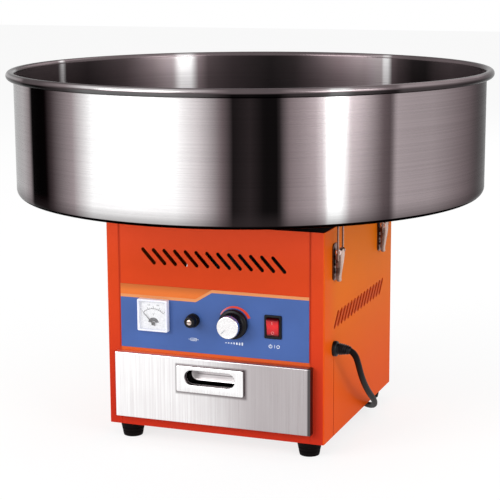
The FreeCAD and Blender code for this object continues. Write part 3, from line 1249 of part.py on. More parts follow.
def rocker():
    """Rocker that tilts about a pin across the switch, at rest with its lower end pressed in."""
    centre = on_axis(SWITCH_X, ROCKER_PIVOT_DEPTH)
    drum = rod(ROCKER_RADIUS, centre - X_AXIS * (ROCKER_WIDTH / 2), X_AXIS, ROCKER_WIDTH)
    reach = 2 * ROCKER_RADIUS
    slab = block(centre.x - reach, centre.x + reach, centre.y - ROCKER_FACE, centre.y + ROCKER_FACE,
                 centre.z - reach, centre.z + reach)
    dish_height = centre.y - ROCKER_FACE - ROCKER_DISH + ROCKER_DISH_DEPTH
    dish = rod(ROCKER_DISH, V(centre.x - reach, dish_height, centre.z), X_AXIS, 2 * reach)
    pin = rod(ROCKER_PIN_RADIUS, centre - X_AXIS * ROCKER_PIN_REACH, X_AXIS, 2 * ROCKER_PIN_REACH)
    shape = fused([drum.common(slab).cut(dish), pin])
    shape.rotate(centre, X_AXIS, ROCKER_TILT)
    return shape


# ---------------------------------------------------------------- power cord
def cord_gland():
    """Gland through the right side panel: flange, tapered sleeve and a locking ring inside."""
    centre = V(RIGHT, GLAND_PLACE, GLAND_HEIGHT)
    flange = rod(GLAND_FLANGE_RADIUS, centre, X_AXIS, GLAND_FLANGE)
    sleeve = Part.makeCone(GLAND_NECK_RADIUS, CORD_RADIUS + GLAND_WALL, GLAND_PROUD - GLAND_FLANGE,
                           centre + X_AXIS * GLAND_FLANGE, X_AXIS)
    neck = rod(GLAND_NECK_RADIUS, centre, X_AXIS * -1, SHEET + GLAND_NECK_LENGTH)
    ring = rod(GLAND_RING_RADIUS, centre - X_AXIS * SHEET, X_AXIS * -1, GLAND_RING)
    return fused([flange, sleeve, neck, ring])


def cord_tube(route):
    """Round tube along straight runs joined by tangent arcs, as wide as the runs allow."""
    edges = []
    radii = []
    start = route[0]
    for before, corner, after in zip(route, route[1:], route[2:]):
        back = before - corner
        ahead = after - corner
        cut = RUN_SHARE * min(back.Length, ahead.Length)
        back.normalize()
        ahead.normalize()
        half_turn = (math.pi - back.getAngle(ahead)) / 2
        radius = cut / math.tan(half_turn)
        radii.append(round(radius, 1))
        first = corner + back * cut
        last = corner + ahead * cut
        bisector = back + ahead
        bisector.normalize()
        middle = corner + bisector * (radius / math.cos(half_turn) - radius)
        edges.append(Part.makeLine(start, first))
        edges.append(Part.Arc(first, middle, last).toShape())
        start = last
    edges.append(Part.makeLine(start, route[-1]))
    path = Part.Wire(edges)
    section = Part.Wire(Part.makeCircle(CORD_RADIUS, route[0], route[1] - route[0]))
    solid = path.makePipeShell([section], True, False)
    expected = math.pi * CORD_RADIUS ** 2 * path.Length
    share = round(solid.Volume / expected, 4)
    print("cord radii", radii, "length", round(path.Length, 1), "volume ratio", share)
    return solid


def cord_coil():
    """Outer shape of the cord's neat coil."""
    high = COIL_TURNS_HIGH * 2 * CORD_RADIUS
    inner = COIL_RADIUS - 2 * CORD_RADIUS
    outer = COIL_RADIUS + 2 * CORD_RADIUS
    ring = tube(outer, inner, COIL_CENTRE + Z_AXIS * CORD_FLOOR, Z_AXIS, high)
    rims = [edge for edge in ring.Edges if edge.Curve.TypeId == "Part::GeomCircle"]
    return ring.makeFillet(CORD_RADIUS - 0.2, rims)


def plug_frame():
    """Where the cord enters the plug, and the direction that the plug points in."""
    ahead = PLUG_ROUTE[-1] - PLUG_ROUTE[-2]
    ahead.normalize()
    return PLUG_ROUTE[-1], ahead


def place_plug(shape):
    """Moves a shape drawn along +X from the origin to the plug's place."""
    start, ahead = plug_frame()
    shape.rotate(V(0, 0, 0), Z_AXIS, math.degrees(math.atan2(ahead.y, ahead.x)))
    shape.translate(start)
    return shape


def plug_body():
    """Moulded plug with a tapered neck."""
    wide = PLUG_WIDTH / 2
    high = PLUG_HEIGHT / 2
    neck = Part.makeCone(CORD_RADIUS + 1.0, PLUG_NECK_RADIUS, PLUG_NECK + 2, V(0, 0, 0), X_AXIS)
    body = block(PLUG_NECK, PLUG_LENGTH, -wide, wide, -high, high)
    middle = (PLUG_NECK + PLUG_LENGTH) / 2
    long_edges = [edge for edge in body.Edges if abs(edge.CenterOfMass.x - middle) < 1]
    body = body.makeFillet(PLUG_SIDE_BEND, long_edges)
    back_edges = [edge for edge in body.Edges if edge.BoundBox.XMax < PLUG_NECK + 0.1]
    body = body.makeFillet(PLUG_BACK_BEND, back_edges)
    return place_plug(fused([neck, body]))


def plug_pins():
    """Two flat blades and a round earth pin."""
    start = PLUG_LENGTH
    half = BLADE_THICKNESS / 2
    blades = [block(start, start + BLADE_LENGTH, y - half, y + half, BLADE_LOW, BLADE_HIGH)
              for y in (-BLADE_SPACING / 2, BLADE_SPACING / 2)]
    earth = rod(EARTH_RADIUS, V(start, 0, -EARTH_DROP), X_AXIS, EARTH_LENGTH)
    return [place_plug(pin) for pin in blades + [earth]]


# ---------------------------------------------------------------- the machine
def build():
    """Writes every node."""
    os.makedirs("parts", exist_ok=True)
    export("base_pan", base_pan())
    export("left_side_panel", side_panel(-1))
    export("right_side_panel", side_panel(1))
    export("rear_panel", rear_panel())
    export("front_panel", front_panel())
    export("top_plate", top_plate())
    export("control_fascia", control_fascia())
    export("panel_screws", panel_screws())
    export("rubber_feet", [rubber_foot(place) for place in foot_places()])
    export("foot_screws", [foot_screw(place) for place in foot_places()])

    export("bowl", bowl())
    export("bowl_pads", bowl_pads())
    export("bowl_keepers", [bowl_keeper(side, place) for side, end, place in LATCHES])

    export("latch_bases", [latch_base(side, place) for side, end, place in LATCHES])
    export("latch_rivets", [latch_rivet(side, place) for side in (-1, 1) for place in rivet_places(side)])
    for side, end, place in LATCHES:
        name = ("right_" if side > 0 else "left_") + end
        export("latch_lever_" + name, latch_lever(side, place))
        export("latch_loop_" + name, latch_loop(side, place))

    export("motor_housing", motor_housing())
    export("motor_bracket", motor_bracket())
    export("motor_mounts", motor_mounts())
    export("motor_rotor", motor_rotor())
    export("slip_ring_disc", slip_ring_disc())
    export("slip_rings", slip_rings())
    export("brush_holder", brush_holder())
    export("carbon_brushes", carbon_brushes())

    export("head_floor", head_floor())
    export("head_screen", head_screen())
    export("heating_element", heating_element())
    export("head_cover", head_cover())
    export("sugar_cup", sugar_cup())
    export("head_nut", head_nut())
    export("head_studs", head_studs())

    export("drawer_front", drawer_front())
    export("drawer_tray", drawer_tray())
    export("drawer_handle_plate", handle_plate())
    export("drawer_finger_cup", finger_cup())
    export("drawer_runners", [drawer_runner(side) for side in (-1, 1)])

    export("voltmeter_case", voltmeter_case())
    export("voltmeter_dial", voltmeter_dial())
    export("voltmeter_window", voltmeter_window())
    export("meter_needle", meter_needle())
    export("fuse_holder", fuse_holder())
    export("fuse_cap", fuse_cap())
    export("fuse_cartridge", fuse_cartridge())
    export("heat_control", heat_control())
    export("knob_body", knob_body())
    export("knob_cap", knob_cap())
    export("switch_housing", switch_housing())
    export("rocker", rocker())

    export("cord_gland", cord_gland())
    export("power_cord", [cord_tube(CORD_ROUTE), cord_tube(PLUG_ROUTE)])
    export("cord_coil", cord_coil())
    export("plug_body", plug_body())
    export("plug_pins", plug_pins())


build()
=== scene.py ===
"""Looks of a table-top electric cotton candy machine: painted cabinet, deep steel bowl, controls and cord."""
import json
from math import asin, cos, pi, radians, sin, tau

import bmesh
import bpy
from bpy.props import FloatProperty, FloatVectorProperty, IntProperty, PointerProperty
from mathutils import Matrix, Vector


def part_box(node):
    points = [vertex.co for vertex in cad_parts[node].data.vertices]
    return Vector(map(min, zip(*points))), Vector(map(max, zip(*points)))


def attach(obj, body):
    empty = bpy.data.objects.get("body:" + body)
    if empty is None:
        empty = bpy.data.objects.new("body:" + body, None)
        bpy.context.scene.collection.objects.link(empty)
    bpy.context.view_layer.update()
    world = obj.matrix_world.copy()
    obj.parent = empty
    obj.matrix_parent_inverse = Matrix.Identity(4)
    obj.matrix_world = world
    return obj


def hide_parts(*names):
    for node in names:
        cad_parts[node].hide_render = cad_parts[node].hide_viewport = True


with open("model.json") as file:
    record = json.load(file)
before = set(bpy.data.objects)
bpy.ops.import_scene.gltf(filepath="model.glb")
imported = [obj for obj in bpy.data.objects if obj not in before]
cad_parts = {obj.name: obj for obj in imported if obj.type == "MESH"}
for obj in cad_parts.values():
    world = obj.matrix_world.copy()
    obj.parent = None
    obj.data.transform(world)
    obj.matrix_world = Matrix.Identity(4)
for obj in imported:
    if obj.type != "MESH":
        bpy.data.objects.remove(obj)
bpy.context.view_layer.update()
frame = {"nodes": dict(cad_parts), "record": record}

bl_info = {
    "name": "Cotton candy machine",
    "version": (1, 0, 0),
    "blender": (4, 5, 0),
    "location": "View3D > Sidebar > Candy",
    "description": "Builds the visible pieces and finishes of an electric cotton candy machine",
    "category": "Object",
}


# ---------------------------------------------------------------- places and sizes
def reach(node, axis):
    """The lowest and the highest place of a node along X, Y or Z, in metres."""
    return [corner["XYZ".index(axis)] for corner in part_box(node)]


BOWL_FLOOR, BOWL_TOP = reach("bowl", "Z")
SKIN = {1: reach("right_side_panel", "X")[1], -1: reach("left_side_panel", "X")[0]}     # outsides of the cabinet

# From here on lengths are in millimetres, except where a function says metres.
MM = 0.001
FACE = -125.5                # front of the control facing
AXIS_X = 5                   # middle of the cabinet
CONTROL_Z = 136              # middle of the controls, over the table
METER_X, FUSE_X, KNOB_X, SWITCH_X = (AXIS_X + step for step in (-66, -21.8, 23.3, 66))
STEP_START, STEP_END = AXIS_X - 19, AXIS_X - 1   # where the facing's upper edge climbs
EDGE_LOW, EDGE_HIGH = 158.5, 169.5               # its height before and after
VENT_ROW_Z = 138.7           # middle of the side vents
VENT_LEAN = 0.925            # how far a side vent runs back for each millimetre that it rises
LATCH_PIVOT_Z = 212
PRINT = 0.08                 # thickness of printed marks
SCALE = Matrix.Scale(MM, 4)                              # takes a shape from millimetres to metres
FRONT_AXIS = Matrix.Rotation(radians(90), 4, "X")   # turns a piece made up +Z to point to the operator


# ---------------------------------------------------------------- colours
def srgb(red, green, blue):
    """Screen values from 0 to 255 as the linear colour that the shaders take."""
    parts = [value / 255 for value in (red, green, blue)]
    return [part / 12.92 if part <= 0.04045 else ((part + 0.055) / 1.055) ** 2.4 for part in parts]


def share(colour, *shares):
    """A colour with a share of its red, green and blue, or one share of all three."""
    return [value * part for value, part in zip(colour, shares * 3)]


def steel_tone(tone, warmth=0.045):
    """A screen brightness as the faintly warm grey of polished steel."""
    dip = warmth * sin(pi * tone)
    return srgb(255 * tone, 255 * (tone - dip), 255 * (tone - 0.8 * dip))


def opaque(colour):
    """A colour with its alpha, as a colour socket takes it."""
    return (*colour[:3], 1.0)


# ---------------------------------------------------------------- shader maths
class Value:
    """An output socket in a node tree; arithmetic on it adds Math nodes."""

    def __init__(self, nodes, socket):
        self.nodes = nodes
        self.socket = socket

    def math(self, operation, *others):
        """The result of a Math node on this value and the others."""
        inputs = dict(enumerate((self,) + others))
        return self.nodes.node("ShaderNodeMath", {"operation": operation}, inputs)

    def __add__(self, other):
        return self.math("ADD", other)

    def __sub__(self, other):
        return self.math("SUBTRACT", other)

    def __rsub__(self, other):
        return self * -1 + other

    def __mul__(self, other):
        return self.math("MULTIPLY", other)

    def __truediv__(self, other):
        return self.math("DIVIDE", other)

    def __gt__(self, other):
        return self.math("GREATER_THAN", other)

    def __lt__(self, other):
        return self.math("LESS_THAN", other)

    def __abs__(self):
        return self.math("ABSOLUTE")

    __radd__ = __add__
    __rmul__ = __mul__

    def between(self, low, high):
        """0 below low, 1 above high and a smooth rise from one to the other."""
        inputs = {"Value": self, "From Min": low, "From Max": high}
        return self.nodes.node("ShaderNodeMapRange", {"interpolation_type": "SMOOTHSTEP"}, inputs)

    def under(self, low, high):
        """1 below low, 0 above high and a smooth fall from one to the other."""
        return 1 - self.between(low, high)

    def near(self, low, high):
        """1 nearer to 0 than low, 0 farther from it than high, on both sides."""
        return abs(self).under(low, high)

    def at_most_one(self):
        """The value, or 1 where it is larger."""
        return self.math("MINIMUM", 1.0)


class Nodes:
    """A node tree and one way to add nodes to it."""

    def __init__(self, tree):
        self.tree = tree

    def feed(self, socket, value):
        """Links or sets one socket."""
        if isinstance(value, Value):
            self.tree.links.new(value.socket, socket)
        else:
            socket.default_value = value

    def node(self, kind, settings, inputs, output=0):
        """Adds a node, its settings first and then its sockets, and returns one of its outputs."""
        made = self.tree.nodes.new(kind)
        for key, value in settings.items():
            if key == "stops":
                self.fill_ramp(made.color_ramp, value)
            else:
                setattr(made, key, value)
        for key, value in inputs.items():
            self.feed(made.inputs[key], value)
        return None if output is None else Value(self, made.outputs[output])

    def fill_ramp(self, ramp, stops):
        """Gives a colour ramp its stops, as (place, colour) pairs."""
        while len(ramp.elements) > 1:
            ramp.elements.remove(ramp.elements[-1])
        ramp.elements[0].position, ramp.elements[0].color = stops[0][0], opaque(stops[0][1])
        for place, colour in stops[1:]:
            ramp.elements.new(place).color = opaque(colour)

    def given(self, label):
        """One of the inputs of a node group, by its name."""
        return self.node("NodeGroupInput", {}, {}, label)

    def seen_directly(self):
        """1 for what the eye sees straight, in a reflection or through glass, and 0 for what lights the scene."""
        path = "ShaderNodeLightPath"
        seen = self.node(path, {}, {}, "Is Camera Ray") + self.node(path, {}, {}, "Is Glossy Ray")
        return (seen + self.node(path, {}, {}, "Is Transmission Ray")).at_most_one()


class Finish(Nodes):
    """One procedural material: a Principled shader and the nodes that feed it."""

    def __init__(self, name, **constants):
        self.material = bpy.data.materials.new(name)
        self.material.use_nodes = True
        super().__init__(self.material.node_tree)
        self.tree.nodes.clear()
        self.shader = self.tree.nodes.new("ShaderNodeBsdfPrincipled")
        surface = self.tree.nodes.new("ShaderNodeOutputMaterial").inputs["Surface"]
        self.tree.links.new(self.shader.outputs[0], surface)
        for socket, value in constants.items():
            self.set(socket.replace("_", " "), value)
        self.place = self.node("ShaderNodeTexCoord", {}, {}, "Object")

    def set(self, socket, value):
        """Sets or links a socket of the Principled shader."""
        self.feed(self.shader.inputs[socket], value)

    def coat(self, colour, roughness):
        """Sets the two sockets that every finish feeds."""
        self.set("Base Color", colour)
        self.set("Roughness", roughness)

    def part(self, axis):
        """The place along X, Y or Z, in metres."""
        return self.node("ShaderNodeSeparateXYZ", {}, {0: self.place}, axis)

    def facing(self, axis):
        """How far the surface faces X, Y or Z."""
        way = self.node("ShaderNodeTexCoord", {}, {}, "Normal")
        return self.node("ShaderNodeSeparateXYZ", {}, {0: way}, axis)

    def vector(self, operation, other, output=0):
        """The place and another vector in a Vector Math node."""
        return self.node("ShaderNodeVectorMath", {"operation": operation}, {0: self.place, 1: other}, output)

    def stretched(self, factors):
        """The place multiplied part by part."""
        return self.vector("MULTIPLY", factors)

    def dimmed(self, colour, factor):
        """A colour multiplied by a value."""
        return self.node("ShaderNodeVectorMath", {"operation": "SCALE"}, {0: colour, "Scale": factor})

    def mix(self, factor, first, second):
        """A colour between two colours."""
        first, second = (c if isinstance(c, Value) else opaque(c) for c in (first, second))
        return self.node("ShaderNodeMix", {"data_type": "RGBA"}, {0: factor, 6: first, 7: second}, 2)

    def noise(self, scale, detail=2.0, roughness=0.5, place=None):
        """Soft random values around a half."""
        inputs = {"Vector": place or self.place, "Scale": scale, "Detail": detail, "Roughness": roughness}
        return self.node("ShaderNodeTexNoise", {}, inputs)

    def bumped(self, height, strength):
        """Feeds a height to the shader's normal and returns the finished material."""
        inputs = {"Height": height, "Strength": strength, "Distance": 0.0002}
        self.set("Normal", self.node("ShaderNodeBump", {}, inputs))
        return self.material


# ---------------------------------------------------------------- finishes, with places in metres
def painted_steel(name, front, side):
    """Powder paint with painted light: the flanks a lit, more orange copy of the front's red, a painted highlight
    along the top, painted shade that turns it darker and redder towards the table, beside the drawer and between
    the side vents, and a fine orange-peel skin.
    """
    finish = Finish(name, Specular_IOR_Level=0.012)
    x, y, z = (finish.part(axis) for axis in "XYZ")
    # Painted light: the flanks take the side colour, the front's paint as the lamps light it from the side.
    across = abs(finish.facing("X")).between(0.25, 0.9)
    # Painted shade: darker and redder towards the table.
    low = z.under(0.02, 0.21)
    cloud = finish.noise(6.0, 3.0)

    def coat(colour, high, shares):
        """One colour of paint, with a painted highlight at the top and painted shade near the table."""
        fresh = finish.mix(cloud.between(0.3, 0.75), share(colour, 0.88), colour)
        # Painted highlight: brighter along the top, where the bowl shades the cabinet.
        fresh = finish.mix(z.between(0.185, 0.236), fresh, share(colour, *high))
        return finish.mix(low, fresh, share(colour, *shares))

    drawer_top, facing_bottom = reach("drawer_front", "Z")[1], reach("control_fascia", "Z")[0]
    seam_left, seam_right = reach("front_panel", "X")
    beside = abs(x - (seam_left + seam_right) / 2) - (seam_right - seam_left) / 2
    ledge = z.between(drawer_top - 0.0005, drawer_top + 0.001) * z.under(facing_bottom, facing_bottom + 0.001)
    ahead = finish.mix(ledge * (beside < 0), coat(front, (1.24, 1.25, 1.7), (0.7, 0.42, 0.75)),
                       share(front, 0.9, 1.5, 1.5))
    seam = beside.near(0.0004, 0.0022) * z.between(drawer_top, drawer_top + 0.004)
    # Painted shadow of the drawer front on the flange beside its left end.
    drawer_shadow = (x - reach("drawer_front", "X")[0]).near(0.001, 0.008)
    drawer_shadow = drawer_shadow * z.under(drawer_top - 0.004, drawer_top) * z.between(0.022, 0.026)
    ahead = finish.mix(seam * 0.45 + drawer_shadow * 0.6, ahead, share(front, 0.4, 0.25, 0.8))
    flank = finish.mix((y + 0.125).near(0.0, 0.05) * 0.6, coat(side, (1, 1, 1), (0.93, 0.52, 0.9)),
                       share(side, 0.95, 0.45, 1.6))
    # Painted shade over the band of the side vents, darker red between the slots.
    up = z - VENT_ROW_Z * MM
    vent_shade = up.near(0.0055, 0.0085) * (y - up * VENT_LEAN).near(0.085, 0.089)
    flank = finish.mix(vent_shade * 0.85, flank, share(side, 0.7, 0.38, 1.15))
    finish.coat(finish.mix(across, ahead, flank), cloud * 0.14 + 0.32)
    return finish.bumped(finish.noise(900.0), 0.14)


def brushed_steel(name, light, dark, lines, rough=0.3, fall=None, **constants):
    """Steel with fine brushed lines; lines holds how often they change along X, Y and Z."""
    finish = Finish(name, Metallic=1.0, **constants)
    grain = finish.noise(1.0, 3.0, 0.6, finish.stretched(lines))
    tone = finish.mix((grain * 0.65 + finish.noise(14.0) * 0.35).between(0.3, 0.7), dark, light)
    finish.coat(fall(finish, tone) if fall else tone, grain * 0.16 + (rough - 0.08))
    return finish.bumped(grain, 0.08)


def cast_metal(name, light, dark, rough, scale):
    """Metal with an even, slightly pebbled skin."""
    finish = Finish(name, Metallic=1.0)
    pebble = finish.noise(scale, 3.0)
    finish.coat(finish.mix(pebble.between(0.3, 0.7), dark, light), pebble * 0.2 + (rough - 0.1))
    return finish.bumped(pebble, 0.3)


def moulded(name, light, dark, rough, scale, strength, **constants):
    """Moulded plastic or rubber with a fine texture."""
    finish = Finish(name, **constants)
    grain = finish.noise(scale)
    cloud = finish.noise(40.0)
    finish.coat(finish.mix((grain * 0.5 + cloud * 0.5).between(0.3, 0.7), dark, light),
                cloud * 0.16 + (rough - 0.08))
    return finish.bumped(grain, strength)


# Painted reflection: how brightly the spun wall mirrors a room, by the angle in degrees from the bowl's front
# left corner.
OUTSIDE_FRONT = [
    (-90, 1.0), (-78, 1.0), (-66, 0.84), (-61.5, 0.62), (-60, 0.07), (-53, 0.07), (-50.5, 0.26), (-43, 0.6),
    (-37, 0.97), (-16, 0.95), (-11, 0.8), (-6, 0.42), (-3.5, 0.1), (0, 0.16), (3, 0.06), (6.1, 0.06),
    (8.6, 0.48), (14, 0.6), (16, 0.74), (17, 1.0), (19.5, 1.0), (22, 0.66), (30, 0.34), (32, 0.3),
    (33.5, 0.62), (44, 0.61), (54, 0.52), (60, 0.46), (66, 0.34), (74, 0.22), (90, 0.2)]
OUTSIDE_BACK = [
    (-90, 0.66), (-74, 0.3), (-66, 0.08), (-58, 0.5), (-44, 0.95), (-20, 0.94), (-8, 0.4), (4, 0.07),
    (14, 0.5), (24, 0.96), (34, 0.9), (46, 0.4), (60, 0.28), (78, 0.8), (90, 0.86)]
INSIDE_BACK = [
    (-90, 0.34), (-61.6, 0.32), (-60, 0.96), (-58.4, 0.27), (-50, 0.2), (-37, 0.34), (-28, 0.49), (-22, 0.63),
    (-20, 0.97), (-17, 0.97), (-15, 0.5), (-12, 0.31), (-5, 0.22), (6, 0.12), (13, 0.17), (20, 0.29),
    (27, 0.4), (34, 0.54), (39.5, 0.72), (40.2, 0.98), (41.8, 0.98), (42.6, 0.42), (45, 0.3), (50, 0.15),
    (55, 0.12), (59, 0.25), (66, 0.34), (90, 0.3)]
INSIDE_FRONT = [
    (-90, 0.5), (-60, 0.8), (-45, 0.97), (-30, 0.86), (-10, 0.72), (10, 0.7), (28, 0.9), (40, 0.97), (55, 0.8),
    (70, 0.6), (90, 0.5)]
BAND_START = radians(-69.4)


def painted_reflection_bands(finish, front, back, warmth):
    """Painted reflection: soft upright bands all round the bowl, from those of its front half and its back half.
    """
    ahead = finish.vector("DOT_PRODUCT", (cos(BAND_START), sin(BAND_START), 0), 1)
    across = finish.vector("DOT_PRODUCT", (-sin(BAND_START), cos(BAND_START), 0), 1)
    wander = (finish.noise(1.0, 3.0, place=finish.stretched((5.0, 5.0, 2.0))) - 0.5) * 0.03

    def half(away, bands):
        """A ramp of painted reflection tones over half a turn."""
        stops = [((angle + 90) / 180, steel_tone(tone, warmth)) for angle, tone in bands]
        turn = (across.math("ARCTAN2", away) + wander) / pi + 0.5
        return finish.node("ShaderNodeValToRGB", {"stops": stops}, {0: turn})

    return finish.mix(ahead.between(-0.012, 0.012), half(ahead * -1, back), half(ahead, front))


def spun_wall(name, front, back, rough, metal):
    """Polished sheet steel turned on a lathe, with a painted reflection in soft upright bands, painted shade near
    the floor and fine hoops.
    """
    finish = Finish(name, Metallic=metal, Specular_Tint=(0.45, 0.45, 0.45, 1))
    tone = painted_reflection_bands(finish, front, back, 0.05)
    hoops = finish.noise(1.0, place=finish.stretched((3.0, 3.0, 900.0)))
    shade = finish.dimmed(tone, 1 - hoops.between(0.35, 0.65) * 0.1)
    # Painted shade: the wall turns darker near the bowl's floor.
    foot = finish.part("Z").under(BOWL_FLOOR + 0.006, BOWL_FLOOR + 0.024)
    finish.coat(finish.mix(foot * 0.5, shade, steel_tone(0.2)), hoops * 0.12 + rough)
    return finish.bumped(hoops, 0.04)


def spun_floor(name, light, dark, **constants):
    """Turned steel with rings round the middle."""
    finish = Finish(name, Metallic=1.0, **constants)
    flat = finish.stretched((1, 1, 0))
    radius = finish.node("ShaderNodeVectorMath", {"operation": "LENGTH"}, {0: flat}, 1)
    rings = finish.node("ShaderNodeTexNoise", {"noise_dimensions": "1D"}, {"W": radius * 700.0, "Detail": 3.0})
    finish.coat(finish.mix((rings * 0.6 + finish.noise(9.0) * 0.4).between(0.32, 0.68), dark, light),
                rings * 0.14 + 0.2)
    return finish.bumped(rings, 0.08)


def rolled_rim(name):
    """The rim's bead: a painted highlight along its crest that follows the wall's painted reflection bands, and
    painted shade where it curls under.
    """
    finish = Finish(name, Metallic=1.0, Specular_Tint=(0.5, 0.5, 0.5, 1))
    wall = painted_reflection_bands(finish, OUTSIDE_FRONT, INSIDE_BACK, 0.05)
    up = finish.facing("Z")
    cloud = finish.noise(20.0)
    # Painted highlight line along the crest.
    line = up.between(0.05, 0.4) * up.under(0.6, 0.95)
    crest_highlight = finish.mix(0.42, wall, steel_tone(0.52))
    # Painted shade where the bead curls under, with a little of the painted reflection.
    under = finish.mix(0.85, wall, steel_tone(0.03))
    tone = finish.mix(up.under(-0.2, 0.12), finish.mix(line, steel_tone(0.36), crest_highlight), under)
    finish.coat(finish.dimmed(tone, 1 - cloud.between(0.35, 0.7) * 0.12), cloud * 0.1 + 0.16)
    return finish.material


def facing_paint(name, blue, border):
    """Satin print on the control facing: blue, with a bright border along its stepped upper edge."""
    finish = Finish(name, Specular_IOR_Level=0.35)
    step = (finish.part("X") - STEP_START * MM) / ((STEP_END - STEP_START) * MM)
    step = step.math("MAXIMUM", 0.0).at_most_one()
    edge = step * ((EDGE_HIGH - EDGE_LOW) * MM) + EDGE_LOW * MM
    border_width = 0.0032
    cloud = finish.noise(18.0, 3.0)
    ground = finish.mix(cloud.between(0.3, 0.7), share(blue, 0.88), blue)
    finish.coat(finish.mix(finish.part("Z") > edge - border_width, ground, border), cloud * 0.12 + 0.34)
    return finish.bumped(finish.noise(1300.0), 0.06)


def drawer_steel(name):
    """Brushed drawer front with painted light: a painted reflection, bright from the left to the middle and
    greyer to the right, painted shade at its end, a painted shadow round the handle plate, and darker faces
    behind the front face.
    """
    def fall(finish, tone):
        x, z = finish.part("X"), finish.part("Z")
        left, right = reach("drawer_handle_plate", "X")
        low, high = reach("drawer_handle_plate", "Z")
        # Painted reflection: greyer towards the right.
        reflection_grey = finish.mix(x.between(-0.035, 0.06) * 0.72, tone, steel_tone(0.58))
        # Painted shade at the right end.
        end_shade = finish.mix(x.between(0.1095, 0.1115) * 0.85, reflection_grey, steel_tone(0.14))
        # Painted shadow round the handle plate, reaching furthest below it and to its right.
        shade = x.between(left - 0.0028, left - 0.0004) * x.under(right + 0.001, right + 0.0042)
        shade = shade * z.between(low - 0.0042, low - 0.001) * z.under(high, high + 0.0022)
        end_shade = finish.mix(shade * 0.75, end_shade, steel_tone(0.36))
        # Faces behind the front face are darker.
        return finish.mix(finish.part("Y") < -0.1253, finish.mix(0.35, tone, steel_tone(0.3)), end_shade)
    return brushed_steel(name, steel_tone(0.985), steel_tone(0.9), (700.0, 30.0, 9.0), 0.3, fall)


def handle_steel(name):
    """Pressed plate with painted shade: bright on its face and grey on the edges that turn away."""
    def fall(finish, tone):
        return finish.mix((finish.facing("Y") * -1).under(0.55, 0.97), tone, steel_tone(0.46))
    return brushed_steel(name, steel_tone(0.99), steel_tone(0.93), (500.0, 20.0, 14.0), 0.28, fall)


def hollow_steel(name):
    """Folded steel deep in a recess: shaded on the faces that look up or to the right."""
    def fall(finish, tone):
        dark = finish.facing("Z").between(0.2, 0.7) + finish.facing("X").between(0.15, 0.6)
        return finish.mix(dark.at_most_one() * 0.98, tone, steel_tone(0.015))
    return brushed_steel(name, steel_tone(0.9), steel_tone(0.74), (30.0, 30.0, 700.0), 0.32, fall,
                         Specular_Tint=(0.3, 0.3, 0.3, 1))


def aged_steel(name, light, dark):
    """Small bright-plated parts with smudges, and darker edges: painted shade on the faces that look forwards or
    backwards.
    """
    def fall(finish, tone):
        worn = finish.noise(90.0).between(0.55, 0.75)
        # Painted shade on the faces that look forwards or backwards.
        edge = abs(finish.facing("Y")).between(0.35, 0.8)
        return finish.mix((worn * 0.35 + edge * 0.75).at_most_one(), tone, share(dark, 0.3))
    return brushed_steel(name, light, dark, (500.0, 500.0, 2600.0), 0.3, fall)


def clear_sheet(name):
    """Clear plastic with a faint haze."""
    finish = Finish(name, Base_Color=(1, 1, 1, 1), IOR=1.46, Specular_IOR_Level=0.5)
    haze = finish.noise(60.0)
    finish.set("Alpha", haze * 0.06 + 0.05)
    finish.set("Roughness", haze * 0.05 + 0.04)
    return finish.material


def rocker_with_painted_glow(name, red, deep):
    """Glossy red rocker with a faint painted glow, a painted highlight across its middle and painted shade at its
    ends.
    """
    finish = Finish(name, Coat_Weight=0.25, Coat_Roughness=0.12, Emission_Strength=0.12, Specular_IOR_Level=0.25)
    cloud = finish.noise(150.0)
    height = finish.part("Z") - CONTROL_Z * MM
    # Painted highlight across the middle.
    middle = (height - 0.001).near(0.0, 0.007)
    tone = finish.mix(cloud.between(0.3, 0.7) * 0.4 + middle * 0.6, deep, red)
    # Painted shade: near black at both ends.
    tone = finish.mix(abs(height).between(0.0062, 0.0088) * 0.92, tone, share(deep, 0.1))
    finish.coat(tone, cloud * 0.1 + 0.2)
    # Painted glow: the rocker gives off its own colour.
    finish.set("Emission Color", tone)
    return finish.material


def dial_paper(name):
    """White dial card with a faint tone."""
    finish = Finish(name, Specular_IOR_Level=0.2)
    fibre = finish.noise(600.0, 3.0)
    tone = finish.mix(fibre.between(0.3, 0.7), srgb(222, 223, 226), srgb(238, 238, 240))
    finish.coat(tone, fibre * 0.1 + 0.5)
    return finish.material


def printed_ink(name, colour, faded, along=None):
    """Uneven screen-printed ink; along holds an axis and the stretch where one colour turns to the other."""
    finish = Finish(name, Specular_IOR_Level=0.3)
    turned_to = finish.part(along[0]).between(*along[1:]) if along else finish.noise(220.0).between(0.3, 0.7)
    finish.coat(finish.mix(turned_to, faded, colour), finish.noise(90.0) * 0.2 + 0.4)
    return finish.material


FINISHES = {}


